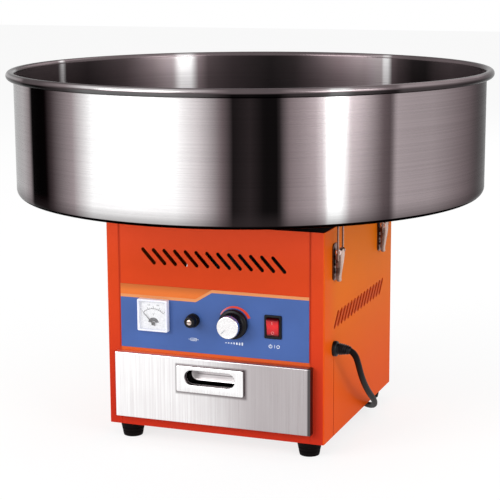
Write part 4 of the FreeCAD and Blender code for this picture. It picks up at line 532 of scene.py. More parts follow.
def make_finishes(paint):
    """Makes every finish of the machine and files it under the name of the record slot or piece that wears it."""
    white, grey = steel_tone(0.9), steel_tone(0.6)
    FINISHES.update(
        cabinet_paint=painted_steel("cabinet_paint", paint.front_paint, paint.lit_side_paint),
        # Painted shade: the top plate is near-black, standing in for the shadow in the gap under the bowl.
        top_paint=moulded("top_paint", srgb(26, 24, 25), srgb(12, 11, 12), 0.6, 500.0, 0.3),
        fascia=facing_paint("facing_blue", paint.facing_blue, paint.border_orange),
        black_rubber=moulded("foot_rubber", srgb(13, 9, 9), srgb(5, 3, 3), 0.7, 800.0, 0.3,
                             Specular_IOR_Level=0.06),
        steel_fasteners=brushed_steel("plated_fasteners", white, grey, (300.0,) * 3, 0.32),
        bowl_outside=spun_wall("bowl_outside", OUTSIDE_FRONT, OUTSIDE_BACK, 0.2, 1.0),
        bowl_inside=spun_wall("bowl_inside", INSIDE_FRONT, INSIDE_BACK, 0.24, 0.7),
        bowl_floor=spun_floor("bowl_floor", steel_tone(0.88), steel_tone(0.7)),
        # Painted shade: the underside is near-black, standing in for the dark gap between the bowl and the
        # cabinet.
        bowl_under=spun_floor("bowl_underside", steel_tone(0.13), steel_tone(0.06),
                              Specular_Tint=(0.12, 0.12, 0.12, 1)),
        bowl_rim=rolled_rim("bowl_rim"),
        latch_steel=aged_steel("latch_steel", srgb(222, 190, 176), srgb(132, 98, 86)),
        pin_steel=brushed_steel("latch_pin_steel", srgb(236, 226, 222), srgb(196, 178, 172), (700.0,) * 3, 0.26),
        # Painted shade: the latch base plates and their rivets are dark brown, standing in for the shadow that
        # they sit in.
        plate_steel=aged_steel("latch_plate_steel", srgb(134, 84, 68), srgb(84, 44, 34)),
        motor_paint=cast_metal("motor_enamel", srgb(62, 66, 70), srgb(40, 43, 46), 0.5, 300.0),
        rotor_steel=brushed_steel("ground_shaft", white, grey, (60.0, 60.0, 1400.0), 0.2),
        insulator=moulded("pressed_insulator", srgb(122, 84, 52), srgb(94, 62, 38), 0.5, 240.0, 0.2),
        brass=brushed_steel("brass", srgb(226, 190, 112), srgb(188, 148, 76), (400.0,) * 3, 0.26),
        carbon=moulded("carbon", srgb(44, 44, 46), srgb(24, 24, 26), 0.55, 900.0, 0.2),
        head_aluminium=spun_floor("spun_aluminium", srgb(226, 227, 228), srgb(190, 191, 193)),
        heater=cast_metal("heater_ribbon", srgb(150, 128, 112), srgb(92, 76, 68), 0.45, 700.0),
        drawer_steel=drawer_steel("drawer_steel"),
        handle_steel=handle_steel("handle_steel"),
        hollow_steel=hollow_steel("hollow_steel"),
        meter_white=moulded("meter_white", srgb(240, 241, 252), srgb(228, 230, 244), 0.3, 500.0, 0.05),
        meter_dial=dial_paper("dial_card"),
        clear_window=clear_sheet("clear_window"),
        needle=printed_ink("needle_black", srgb(34, 34, 38), srgb(20, 20, 22)),
        black_plastic=moulded("black_plastic", srgb(16, 14, 18), srgb(6, 5, 8), 0.36, 600.0, 0.12,
                              Specular_IOR_Level=0.2),
        knob_silver=brushed_steel("knob_silver", steel_tone(0.975), steel_tone(0.9), (900.0,) * 3, 0.24),
        fuse_brass=brushed_steel("fuse_end", srgb(232, 214, 204), srgb(196, 170, 158), (600.0,) * 3, 0.3),
        rocker_red=rocker_with_painted_glow("rocker_red", srgb(214, 34, 38), srgb(150, 12, 26)),
        fuse_glass=clear_sheet("fuse_glass"),
        cord_black=moulded("cord_black", srgb(16, 11, 11), srgb(6, 4, 4), 0.5, 500.0, 0.15,
                           Specular_IOR_Level=0.06),
        tab_orange=printed_ink("tab_orange", share(paint.tab_orange, 0.72), paint.tab_orange,
                               ("Z", 0.161, 0.1695)),
        white_ink=printed_ink("white_ink", srgb(236, 238, 244), srgb(196, 204, 224)),
        black_ink=printed_ink("black_ink", srgb(44, 44, 50), srgb(70, 70, 78)),
        scale_ink=printed_ink("scale_ink", srgb(220, 62, 40), srgb(226, 150, 160), ("X", 0.010, 0.027)),
        rocker_mark=printed_ink("rocker_mark", srgb(226, 128, 126), srgb(214, 104, 104)),
        pointer_ink=printed_ink("pointer_grey", srgb(188, 189, 192), srgb(170, 171, 175)),
    )


# ---------------------------------------------------------------- what a user would change
def colour_setting(name, description, *screen):
    """A colour setting, from its screen values."""
    return FloatVectorProperty(name=name, description=description, subtype="COLOR", size=3, default=srgb(*screen))


def length_setting(name, description, metres):
    """A length setting."""
    return FloatProperty(name=name, description=description, unit="LENGTH", subtype="DISTANCE", default=metres)


class CandyPaint(bpy.types.PropertyGroup):
    """Colours of the painted and printed parts."""
    front_paint: colour_setting("Front paint", "Paint on the faces that look ahead or behind", 220, 74, 35)
    # Painted light: the front's paint as the lamps light the cabinet's flanks.
    lit_side_paint: colour_setting("Side paint", "Paint as it looks on the cabinet's flanks", 232, 116, 18)
    facing_blue: colour_setting("Facing blue", "Ground colour of the control facing", 62, 94, 160)
    border_orange: colour_setting("Border orange", "Line along the control facing's upper edge", 220, 140, 84)
    tab_orange: colour_setting("Tab orange", "Bright tab over the control facing's left end", 222, 112, 36)


class CandyCord(bpy.types.PropertyGroup):
    """Sizes of the power cord and its coil."""
    length: length_setting("Length", "Real length of the cord, from the cabinet to the plug", 1.6)
    diameter: length_setting("Diameter", "Outside diameter of the cord", 0.0065)
    steps: IntProperty(
        name="Points a turn", description="Points on each turn of the coil", default=24, min=12, max=48)
    relief: length_setting("Strain relief", "Length of the tapered sleeve outside the cabinet", 0.0175)


class CandyDetails(bpy.types.PropertyGroup):
    """Counts and sizes of the small repeated parts."""
    knob_ribs: IntProperty(name="Knob ribs", description="Ribs round the heat knob's skirt", default=28, min=8)
    cap_ribs: IntProperty(name="Fuse cap ribs", description="Ribs round the fuse cap", default=24, min=8)
    dial_ticks: IntProperty(name="Dial ticks", description="Ticks on the voltmeter's scale", default=13, min=3)
    rivet_radius: length_setting("Rivet heads", "Radius of the latch rivets' heads", 0.003)
    bowl_facets: IntProperty(name="Bowl facets", description="Facets round the bowl", default=192, min=48)


# ---------------------------------------------------------------- shapes
def circle(radius, count, height):
    """Points of a circle about +Z; radius 0 gives the one point of a pole."""
    if radius == 0:
        return [Vector((0, 0, height))]
    turns = [tau * index / count for index in range(count)]
    return [Vector((radius * cos(turn), radius * sin(turn), height)) for turn in turns]


def rounded(width, tall, corner, steps=6, height=0.0, inset=0.0, rise=0.0):
    """Points of a rounded rectangle in the XY plane, drawn in by inset and moved along Y by rise."""
    half_x, half_y = width / 2 - inset, tall / 2 - inset
    corner = max(corner - inset, 0.05)
    points = []
    for quarter, (side_x, side_y) in enumerate(((1, 1), (-1, 1), (-1, -1), (1, -1))):
        middle_x, middle_y = side_x * (half_x - corner), rise + side_y * (half_y - corner)
        for step in range(steps + 1):
            turn = radians(90 * quarter + 90 * step / steps)
            points.append(Vector((middle_x + corner * cos(turn), middle_y + corner * sin(turn), height)))
    return points


def loft(rings, closed=False, finishes=None):
    """Skins rings of points one after another; a one-point ring is a pole, other open ends get a flat cap."""
    mesh = bmesh.new()
    made = [[mesh.verts.new(point) for point in ring] for ring in rings]
    pairs = list(zip(made, made[1:]))
    if closed:
        pairs.append((made[-1], made[0]))
    finishes = finishes or [0] * len(pairs)
    for band, (low, high) in enumerate(pairs):
        count = max(len(low), len(high))
        for index in range(count):
            after = (index + 1) % count
            if len(low) == 1:
                corners = (low[0], high[after], high[index])
            elif len(high) == 1:
                corners = (low[index], low[after], high[0])
            else:
                corners = (low[index], low[after], high[after], high[index])
            mesh.faces.new(corners).material_index = finishes[band]
    if not closed:
        for ring, band in ((made[0][::-1], 0), (made[-1], -1)):
            if len(ring) > 1:
                mesh.faces.new(ring).material_index = finishes[band]
    return mesh


def block(width, tall, corner, steps, low, high):
    """A rounded block between two heights."""
    return loft([rounded(width, tall, corner, steps, height) for height in (low, high)])


def turned(profile, count, closed=False, finishes=None):
    """A shape turned about +Z from (radius, height) pairs."""
    return loft([circle(radius, count, height) for radius, height in profile], closed, finishes)


def arc_profile(centre, radius, first, last, steps):
    """(radius, height) pairs along an arc, its angles in degrees from +radius towards +height."""
    angles = [radians(first + (last - first) * step / steps) for step in range(steps + 1)]
    return [(centre[0] + radius * cos(angle), centre[1] + radius * sin(angle)) for angle in angles]


def flat_arc(inner, outer, first, last, low, high, steps=32, taper=1.0):
    """A flat bent strip between two radii, its outer edge drawn in towards its first end by the taper."""
    rings = []
    for index in range(steps + 1):
        done = index / steps
        turn = radians(first + (last - first) * done)
        edge = inner + (outer - inner) * (taper + (1 - taper) * done)
        rings.append([Vector((radius * cos(turn), radius * sin(turn), height))
                      for radius, height in ((inner, low), (edge, low), (edge, high), (inner, high))])
    return loft(rings)


def plate_rings(outline, thick, edge, steps=6):
    """Outlines of a plate (width, tall, corner) from its back up its side and round its soft front edge."""
    rings = [rounded(*outline, steps)]
    for turn in (radians(90 * step / 4) for step in range(5)):
        rings.append(rounded(*outline, steps, thick - edge + edge * sin(turn), edge * (1 - cos(turn))))
    return rings


def frame_ring(outline, hole, thick, edge, steps=6, rise=0.0):
    """A plate with a rounded edge and a rounded window (width, tall, corner) through it, moved up by rise."""
    rings = plate_rings(outline, thick, edge, steps)
    soft = edge * 0.6
    for turn in (radians(90 * step / 3) for step in range(4)):
        height, inset = thick - soft * (1 - cos(turn)), -soft * (1 - sin(turn))
        rings.append(rounded(*hole, steps, height, inset, rise))
    rings.append(rounded(*hole, steps, rise=rise))
    return loft(rings, closed=True)


# ---------------------------------------------------------------- places and pieces
def shifted(x, y, z):
    """A move without a turn."""
    return Matrix.Translation((x, y, z))


def on_front(x, z, y=FACE):
    """Places a shape drawn in XY, with +Z out of it, on the cabinet's front."""
    return SCALE @ shifted(x, y, z) @ FRONT_AXIS


def on_side(side, y, z):
    """Places a shape drawn in XY, with +Z out of it, on the right (1) or left (-1) side of the cabinet."""
    return SCALE @ Matrix(((0, 0, side, SKIN[side] / MM), (side, 0, 0, y), (0, 1, 0, z), (0, 0, 0, 1)))


def finished(mesh, where=None):
    """Turns a bmesh into mesh data in its place, with its faces outwards."""
    bmesh.ops.remove_doubles(mesh, verts=mesh.verts, dist=1e-6 / MM)
    if where is not None:
        mesh.transform(where)
    bmesh.ops.recalc_face_normals(mesh, faces=mesh.faces)
    return as_data(mesh, "shape")


def as_data(mesh, name):
    """Mesh data from a bmesh, which is let go."""
    data = bpy.data.meshes.new(name)
    mesh.to_mesh(data)
    mesh.free()
    return data


def in_scene(name, data):
    """A new object in the scene."""
    item = bpy.data.objects.new(name, data)
    bpy.context.scene.collection.objects.link(item)
    return item


def add_piece(name, parts, finishes, body, slot, *replaces, sharp=32):
    """Adds a piece: its parts, its finishes by name, its body, its record slot, which is not used, and the nodes
    it stands for.
    """
    mesh = bmesh.new()
    for part in parts:
        mesh.from_mesh(part)
    data = as_data(mesh, name)
    piece = in_scene(name, data)
    for finish in finishes.split():
        data.materials.append(FINISHES[finish])
    data.shade_smooth()
    data.set_sharp_from_angle(angle=radians(sharp))
    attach(piece, body)
    if replaces:
        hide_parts(*replaces)
    return piece


# ---------------------------------------------------------------- repeats made with Geometry Nodes
def new_tree(name, inputs):
    """An empty Geometry Nodes tree with a geometry in and out and its named inputs."""
    tree = bpy.data.node_groups.new(name, "GeometryNodeTree")
    tree.interface.new_socket("Geometry", in_out="INPUT", socket_type="NodeSocketGeometry")
    for label, kind in inputs.items():
        tree.interface.new_socket(label, in_out="INPUT", socket_type="NodeSocket" + kind)
    tree.interface.new_socket("Geometry", in_out="OUTPUT", socket_type="NodeSocketGeometry")
    return Nodes(tree)


def close_tree(nodes, inputs):
    """Puts the instances on their points, realizes them and gives them their finish."""
    instances = nodes.node("GeometryNodeInstanceOnPoints", {}, inputs)
    real = nodes.node("GeometryNodeRealizeInstances", {}, {0: instances})
    result = nodes.node("GeometryNodeSetMaterial", {}, {"Geometry": real, "Material": nodes.given("Finish")})
    nodes.node("NodeGroupOutput", {}, {0: result}, None)
    return nodes.tree


def copies_round_axis_tree():
    """Repeats the object's own mesh on an arc about +Z, turned to face outwards."""
    nodes = new_tree("Copies round an axis", {
        "Count": "Int", "Radius": "Float", "Start": "Float", "Step": "Float", "Height": "Float",
        "Finish": "Material"})
    given = nodes.given
    points = nodes.node("GeometryNodePoints", {}, {"Count": given("Count")})
    turn = nodes.node("GeometryNodeInputIndex", {}, {}) * given("Step") + given("Start")
    spot = nodes.node("ShaderNodeCombineXYZ", {}, {
        0: turn.math("COSINE") * given("Radius"), 1: turn.math("SINE") * given("Radius"), 2: given("Height")})
    placed = nodes.node("GeometryNodeSetPosition", {}, {"Geometry": points, "Position": spot})
    euler = nodes.node("ShaderNodeCombineXYZ", {}, {2: turn})
    rotation = nodes.node("FunctionNodeEulerToRotation", {}, {0: euler})
    return close_tree(nodes, {"Points": placed, "Instance": given("Geometry"), "Rotation": rotation})


def heads_tree():
    """Puts a low domed head on each vertex, along the vertex's attribute called way."""
    nodes = new_tree("Fastener heads", {"Head Radius": "Float", "Head Height": "Float", "Finish": "Material"})
    given = nodes.given
    dome = nodes.node("GeometryNodeMeshUVSphere", {}, {"Segments": 16, "Rings": 8, "Radius": 1.0})
    way = nodes.node("GeometryNodeInputNamedAttribute", {"data_type": "FLOAT_VECTOR"}, {"Name": "way"})
    turn = nodes.node("FunctionNodeAlignRotationToVector", {"axis": "Z"}, {"Vector": way})
    size = nodes.node("ShaderNodeCombineXYZ", {}, {
        0: given("Head Radius"), 1: given("Head Radius"), 2: given("Head Height")})
    return close_tree(nodes, {"Points": given("Geometry"), "Instance": dome, "Rotation": turn, "Scale": size})


def grown(data, tree, values):
    """The mesh that a tree makes from mesh data, with the tree's inputs set by their identifiers."""
    holder = in_scene("holder", data)
    modifier = holder.modifiers.new("repeat", "NODES")
    modifier.node_group = tree
    for item in tree.interface.items_tree:
        if item.item_type == "SOCKET" and item.in_out == "INPUT" and item.name in values:
            modifier[item.identifier] = values[item.name]
    return taken(holder)


def taken(holder):
    """A plain mesh of an object as it is evaluated; the object goes."""
    graph = bpy.context.evaluated_depsgraph_get()
    graph.update()
    data = bpy.data.meshes.new_from_object(holder.evaluated_get(graph))
    bpy.data.objects.remove(holder)
    return data


def copies_round_axis(shape, count, radius, start, step, height, finish, where):
    """The mesh of a shape repeated about an axis, in its place."""
    data = grown(finished(shape), copies_round_axis_tree(), {
        "Count": count, "Radius": radius, "Start": start, "Step": step, "Height": height,
        "Finish": FINISHES[finish]})
    data.transform(where)
    return data


def ribbed(profile, facets, rib, rib_facets, count, radius, height, where):
    """A turned black part and the upright ribs that stand round it."""
    ribs = copies_round_axis(turned(rib, rib_facets), count, radius, 0.0, tau / count, height,
                             "black_plastic", where)
    return [finished(turned(profile, facets), where), ribs]


def heads_at(places, radius, height, finish):
    """The mesh of domed heads at (point, direction) places, in metres."""
    data = bpy.data.meshes.new("places")
    data.from_pydata([point for point, way in places], [], [])
    ways = data.attributes.new("way", "FLOAT_VECTOR", "POINT")
    for index, (point, way) in enumerate(places):
        ways.data[index].vector = way
    return grown(data, heads_tree(), {"Head Radius": radius, "Head Height": height, "Finish": FINISHES[finish]})


def lettering(text, size, thick, where):
    """The mesh of plain numbers or marks, drawn in XY and placed."""
    curve = bpy.data.curves.new("mark", "FONT")
    curve.body, curve.size, curve.extrude, curve.resolution_u = text, size * MM, thick * MM, 3
    curve.align_x = curve.align_y = "CENTER"
    data = taken(in_scene("mark", curve))
    data.transform(where @ SCALE.inverted())
    return data


# ---------------------------------------------------------------- stage, in metres
LOOK_AT = (0, 0, 0.15)
LAMPS = {"key": ((-1.3, -2.2, 1.15), LOOK_AT, 41), "fill": ((2.4, -1.2, 1.0), LOOK_AT, 29),
         "back": ((0.3, 2.2, 1.8), (0, 0, 0.2), 12)}     # place, target and watts
LAMP_SIZE = 1.6
CAMERA_PLACE = (0.580, -1.5454, 0.5126)
CAMERA_TURN = (0.3596, 0.1943, -0.005)                   # yaw, pitch and roll
LENS, SENSOR = 110.12, 36.0


class CANDY_OT_stage(bpy.types.Operator):
    """Set up the camera, the soft lamps, the pale floor and the plain background"""
    bl_idname = "candy.stage"
    bl_label = "Stage"

    def execute(self, context):
        scene = context.scene
        scene.view_settings.view_transform = "Standard"
        data = bpy.data.cameras.new("camera")
        data.lens, data.sensor_width, data.clip_end = LENS, SENSOR, 50.0
        camera = in_scene("camera", data)
        yaw, pitch, roll = CAMERA_TURN
        ahead = Vector((-sin(yaw) * cos(pitch), cos(yaw) * cos(pitch), -sin(pitch)))
        right = Vector((cos(yaw), sin(yaw), 0))
        up = right.cross(ahead)
        across = right * cos(roll) + up * sin(roll)
        above = up * cos(roll) - right * sin(roll)
        turn = Matrix((across, above, -ahead)).transposed().to_4x4()
        camera.matrix_world = shifted(*CAMERA_PLACE) @ turn
        scene.camera = camera

        world = bpy.data.worlds.new("studio")
        world.use_nodes = True
        world.node_tree.nodes.clear()
        sky = Nodes(world.node_tree)
        strength = sky.seen_directly() * 0.38 + 0.62
        glow = sky.node("ShaderNodeBackground", {}, {"Color": (1, 1, 1, 1), "Strength": strength})
        sky.node("ShaderNodeOutputWorld", {}, {"Surface": glow}, None)
        scene.world = world

        for name, (place, target, watts) in LAMPS.items():
            light = bpy.data.lights.new(name, "AREA")
            light.shape, light.size, light.energy = "SQUARE", LAMP_SIZE, watts
            lamp = in_scene(name, light)
            lamp.location = place
            lamp.rotation_euler = (Vector(target) - Vector(place)).to_track_quat("-Z", "Y").to_euler()

        floor = in_scene("floor", finished(block(16000, 16000, 2000, 6, -2, 0), SCALE))
        floor.data.materials.append(self.pale_floor())
        return {"FINISHED"}

    def pale_floor(self):
        """A pale floor that shows white but keeps the machine's shadow."""
        material = bpy.data.materials.new("pale_floor")
        material.use_nodes = True
        material.node_tree.nodes.clear()
        nodes = Nodes(material.node_tree)
        matt = nodes.node("ShaderNodeBsdfDiffuse", {}, {"Color": (0.86, 0.86, 0.86, 1)})
        white = nodes.node("ShaderNodeEmission", {}, {"Color": (1, 1, 1, 1), "Strength": 1.1})
        mixed = nodes.node("ShaderNodeMixShader", {}, {0: nodes.seen_directly() * 0.72, 1: matt, 2: white})
        nodes.node("ShaderNodeOutputMaterial", {}, {"Surface": mixed}, None)
        return material


# ---------------------------------------------------------------- power cord
CORD_ROUTE = [(135, -92, 110), (142, -92, 110), (147.5, -90, 104.5), (147.8, -80.5, 93), (145.5, -60, 73),
              (142.5, -27, 49), (139.5, 12, 27), (131, 42, 11), (112.5, 67, 3.95), (93, 94, 3.35),
              (82, 122, 3.35), (78.3, 151, 3.35), (79, 178, 3.35)]
COIL_MIDDLE = (40, 187)
COIL_LANES = [(39.25, 3.35), (32.75, 3.35), (32.75, 9.85), (39.25, 9.85), (32.75, 16.35), (39.25, 16.35)]
COIL_END = 1860              # degrees that the coil turns in all
LANE_STAY, LANE_MOVE = 300, 60   # degrees that a turn stays in its lane, and that it takes to the next one
LEAD_TO_PLUG = [(50.7, 227.1, 15.6), (40, 232, 12.3), (28.5, 233, 8.6), (14, 230, 6.6), (-2, 222.3, 8.2),
                (-19, 211.8, 10.6), (-36, 201, 10.6)]
PLUG_AHEAD = Vector((-0.851, -0.526, 0)).normalized()
RELIEF_RIBS = 5


def coil_points(steps):
    """Points of the put-away coil: each turn keeps its lane, and moves to the next in a sixth of a turn."""
    points = []
    for index in range(1, int(COIL_END * steps / 360) + 1):
        turn = 360 * index / steps
        lane = min(int(turn // LANE_STAY), len(COIL_LANES) - 1)
        done = min((turn - LANE_STAY * lane) / LANE_MOVE, 1.0) if lane else 0.0
        done = done * done * (3 - 2 * done)
        before, after = COIL_LANES[max(lane - 1, 0)], COIL_LANES[lane]
        radius = (before[0] + (after[0] - before[0]) * done) / cos(pi / steps)
        height = before[1] + (after[1] - before[1]) * (done if after[1] <= before[1] else done ** 0.6)
        angle = radians(turn)
        points.append((COIL_MIDDLE[0] + radius * cos(angle), COIL_MIDDLE[1] + radius * sin(angle), height))
    return points


def open_curve(name, points, bevel=0.0):
    """A curve object with one smooth open spline through points."""
    curve = bpy.data.curves.new(name, "CURVE")
    curve.dimensions = "3D"
    curve.resolution_u = 8
    curve.bevel_depth, curve.bevel_resolution, curve.use_fill_caps = bevel, 5, True
    spline = curve.splines.new("NURBS")
    spline.points.add(len(points) - 1)
    for point, place in zip(spline.points, points):
        point.co = (*(value * MM for value in place), 1.0)
    spline.order_u = 3
    spline.use_endpoint_u = True
    return in_scene(name, curve)


def walk(line, distance):
    """The point and direction at a distance along a line."""
    for before, after in zip(line, line[1:]):
        run = (after - before).length
        if distance <= run:
            return before.lerp(after, distance / run), (after - before).normalized()
        distance -= run
    return line[-1], (line[-1] - line[-2]).normalized()


def sleeve(stations, line, start):
    """A round sleeve on a line from (distance, radius) stations; start is where the line begins."""
    rings = []
    for distance, radius in stations:
        point, ahead = line[0] - Vector((start - distance, 0, 0)), Vector((1, 0, 0))
        if distance >= start:
            point, ahead = walk(line, distance - start)
        side = ahead.cross(Vector((0, 0, 1))).normalized()
        above = side.cross(ahead)
        rings.append([point + side * spoke.x + above * spoke.y for spoke in circle(radius, 32, 0)])
    return loft(rings)


class CANDY_OT_power_cord(bpy.types.Operator):
    """Lay the power cord with its coil, strain relief and moulded plug"""
    bl_idname = "candy.power_cord"
    bl_label = "Power cord"

    def execute(self, context):
        size = context.scene.candy_cord
        points = CORD_ROUTE + coil_points(size.steps) + LEAD_TO_PLUG
        cord = open_curve("power_lead", points, size.diameter / 2)
        cord.data.materials.append(FINISHES["cord_black"])
        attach(cord, "cabinet")
        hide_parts("power_cord", "cord_coil")

        end = size.relief / MM
        stations = [(-6.2, 8.5), (-2.7, 8.5), (-2.7, 6), (0, 6), (0, 8), (3.2, 8), (4.2, 7.2), (4.6, 6)]
        for rib in range(RELIEF_RIBS):
            near, far = (6 + (end - 8) * step / RELIEF_RIBS for step in (rib, rib + 0.55))
            radius = 6.2 - 1.4 * rib / RELIEF_RIBS
            stations += [(near, radius - 0.8), (near + 0.6, radius), (far, radius), (far + 0.6, radius - 0.8)]
        stations += [(end - 1, 4.5), (end, 4)]
        line = [vertex.co / MM for vertex in taken(open_curve("line", CORD_ROUTE)).vertices]
        mesh = sleeve(stations, line, CORD_ROUTE[0][0] - SKIN[1] / MM)
        relief = add_piece("strain_relief", [finished(mesh, SCALE)], "black_plastic", "cabinet", "black_plastic",
                           "cord_gland", sharp=40)
        plug = self.plug()
        return {"FINISHED"}

    def plug(self):
        """Moulded plug: a neck that flares into a body with finger grips."""
        stations = [(0, 8.8, 8.8, 4.4), (3, 10.2, 10.2, 5.1), (3.8, 9.2, 9.2, 4.6), (5.2, 11.4, 11.4, 5.7),
                    (6, 10.4, 10.4, 5.2), (7.6, 12.8, 12.6, 6.3), (9.6, 14.6, 14.2, 6.8), (12, 20.5, 17.2, 7),
                    (14.2, 24.2, 20.4, 6.2), (17, 25, 21, 5.2)]
        stations += [(18.5 + 3.2 * ridge + step, wide, 21, 5) for ridge in range(4)
                     for step, wide in ((0, 25), (0.5, 23.6), (1.5, 23.6), (2, 25))]
        stations += [(37.2, 25, 21, 5), (37.8, 24.6, 20.6, 5), (38, 23.6, 19.6, 4.8)]
        mesh = loft([rounded(wide, tall, corner, 5, height) for height, wide, tall, corner in stations])
        above = Vector((0, 0, 1))
        turn = Matrix((above.cross(PLUG_AHEAD), above, PLUG_AHEAD)).transposed().to_4x4()
        data = finished(mesh, SCALE @ shifted(*LEAD_TO_PLUG[-1]) @ turn)
        return add_piece("plug", [data], "cord_black", "cabinet", "cord_black", "plug_body", sharp=40)


# ---------------------------------------------------------------- pieces
class CANDY_OT_dress(bpy.types.Operator):
    """Make every finish and dress the machine's plain parts in it"""
    bl_idname = "candy.dress"
    bl_label = "Finishes"

    def execute(self, context):
        make_finishes(context.scene.candy_paint)
        worn = {part["node"]: part["material_slot"] for part in frame["record"]["subparts"]}
        # The top plate wears the near-black painted shade.
        worn.update(top_plate="top_paint", drawer_finger_cup="hollow_steel", drawer_handle_plate="handle_steel",
                    bowl="bowl_outside")
        for name, node in frame["nodes"].items():
            for slot in node.material_slots:
                slot.material = FINISHES[worn[name]]
        return {"FINISHED"}


class CANDY_OT_bowl(bpy.types.Operator):
    """Spin the bowl: floor with its collar, upright wall and rolled rim"""
    bl_idname = "candy.bowl"
    bl_label = "Bowl"

    def execute(self, context):
        outer, inner, sheet, corner, bead = 252, 251, 1, 9, 4.5
        hole, collar, rise = 75, 6, 3
        under, flat = BOWL_FLOOR / MM, outer - corner
        floor, rim_z = under + sheet, BOWL_TOP / MM - bead
        middle = (flat, under + rise + corner)
        bend = arc_profile(middle, corner, -90, 0, 8)
        parts = [     # each stretch of the profile and the number of its finish
            (3, [(hole, under), (130, under), (195, under), (flat, under + rise)] + bend[1:6]),
            (0, bend[6:] + [(outer, under + 50), (outer, under + 90), (outer, rim_z - 2.8)]),
            (2, arc_profile((inner + bead, rim_z), bead, -141, 180, 36)[1:]),
            (1, [(inner, rim_z - 30), (inner, under + 90), (inner, under + 50)]
                + arc_profile(middle, corner - sheet, 0, -90, 8)),
            (4, [(195, floor), (130, floor), (hole + sheet, floor), (hole + sheet, under + collar),
                 (hole, under + collar)])]
        profile = [point for kind, points in parts for point in points]
        kinds = [kind for kind, points in parts for point in points]
        mesh = turned(profile, context.scene.candy_details.bowl_facets, True, kinds[1:] + [4])
        add_piece("bowl_shell", [finished(mesh, SCALE)],
                  "bowl_outside bowl_inside bowl_rim bowl_under bowl_floor",
                  "cabinet", "bowl_steel", "bowl", sharp=40)
        return {"FINISHED"}


class CANDY_OT_voltmeter(bpy.types.Operator):
    """Make the voltmeter: case with a soft bezel, and the ticks, arcs and numbers of the scale on its card"""
    bl_idname = "candy.voltmeter"
    bl_label = "Voltmeter"

    def execute(self, context):
        z = CONTROL_Z + 2.5
        barrel = turned([(0, -23), (12.5, -23), (13, -22.5), (13, 0)], 48)
        shell = frame_ring((34, 34, 1.4), (29.8, 29.8, 0.8), 6, 0.9)
        tray = loft(plate_rings((30.2, 30.2, 0.8), 1.4, 0.2))
        case = [finished(mesh, on_front(METER_X, z)) for mesh in (barrel, shell, tray)]
        add_piece("voltmeter_shell", case, "meter_white", "cabinet", "meter_white", "voltmeter_case")

        dial = on_front(METER_X, z - 9, FACE - 2.12)
        ticks = context.scene.candy_details.dial_ticks
        step = radians(90 / (ticks - 1))
        parts = []
        for every, length, width in ((1, 1.4, 0.22), (3, 2.4, 0.4)):
            tick = block(length, width, 0.1, 1, 0, PRINT)
            parts.append(copies_round_axis(tick, (ticks - 1) // every + 1, 15.8 + length / 2, radians(45),
                                           step * every, 0.0, "black_ink", dial))
        for arc in ((15.4, 15.9, 45, 135), (2.2, 6.2, 12, 168)):
            parts.append(finished(flat_arc(*arc, 0, PRINT), dial))
        for index, number in enumerate(("300", "200", "100", "0")):
            spot = Matrix.Rotation(radians(45 + 30 * index), 4, "Z") @ Vector((20.2, 0, 0))
            parts.append(lettering(number, 2.1, PRINT / 2, dial @ shifted(*spot)))
        parts.append(lettering("V", 3.6, PRINT / 2, dial @ shifted(0, 9.6, 0)))
        add_piece("dial_marks", parts, "black_ink", "cabinet", "needle")
        return {"FINISHED"}


class CANDY_OT_fuse(bpy.types.Operator):
    """Turn the fuse cap with its ribs and bright screwdriver tip"""
    bl_idname = "candy.fuse"
    bl_label = "Fuse cap"

    def execute(self, context):
        where = on_front(FUSE_X, CONTROL_Z)
        profile = [(0, -6), (4.6, -6), (4.6, 3.3), (6.3, 3.3), (6.3, 4.6), (5.8, 5), (5.8, 10.4)]
        profile += arc_profile((4.6, 10.8), 1.2, 0, 90, 5) + [(3.6, 12), (3.4, 11.7), (0, 11.7)]
        rib = [(0, 0), (0.36, 0), (0.36, 5.2), (0, 5.5)]
        cap = ribbed(profile, 48, rib, 6, context.scene.candy_details.cap_ribs, 5.85, 5, where)
        add_piece("fuse_knob", cap, "black_plastic", "fuse_carrier", "black_plastic", "fuse_cap")
        tip = [finished(self.half_disc(side), where) for side in (1, -1)]
        add_piece("fuse_tip", tip, "fuse_brass", "fuse_carrier", "black_plastic")
        return {"FINISHED"}

    def half_disc(self, side):
        """Half of the cap's round metal end, on one side of its screwdriver slot."""
        rings = []
        for radius, height in ((2.7, 11.5), (2.7, 11.8), (2.3, 11.98)):
            first = asin(0.4 / radius)
            turns = [first + (pi - 2 * first) * index / 12 for index in range(13)]
            rings.append([Vector((radius * cos(turn), side * radius * sin(turn), height)) for turn in turns])
        return loft(rings)


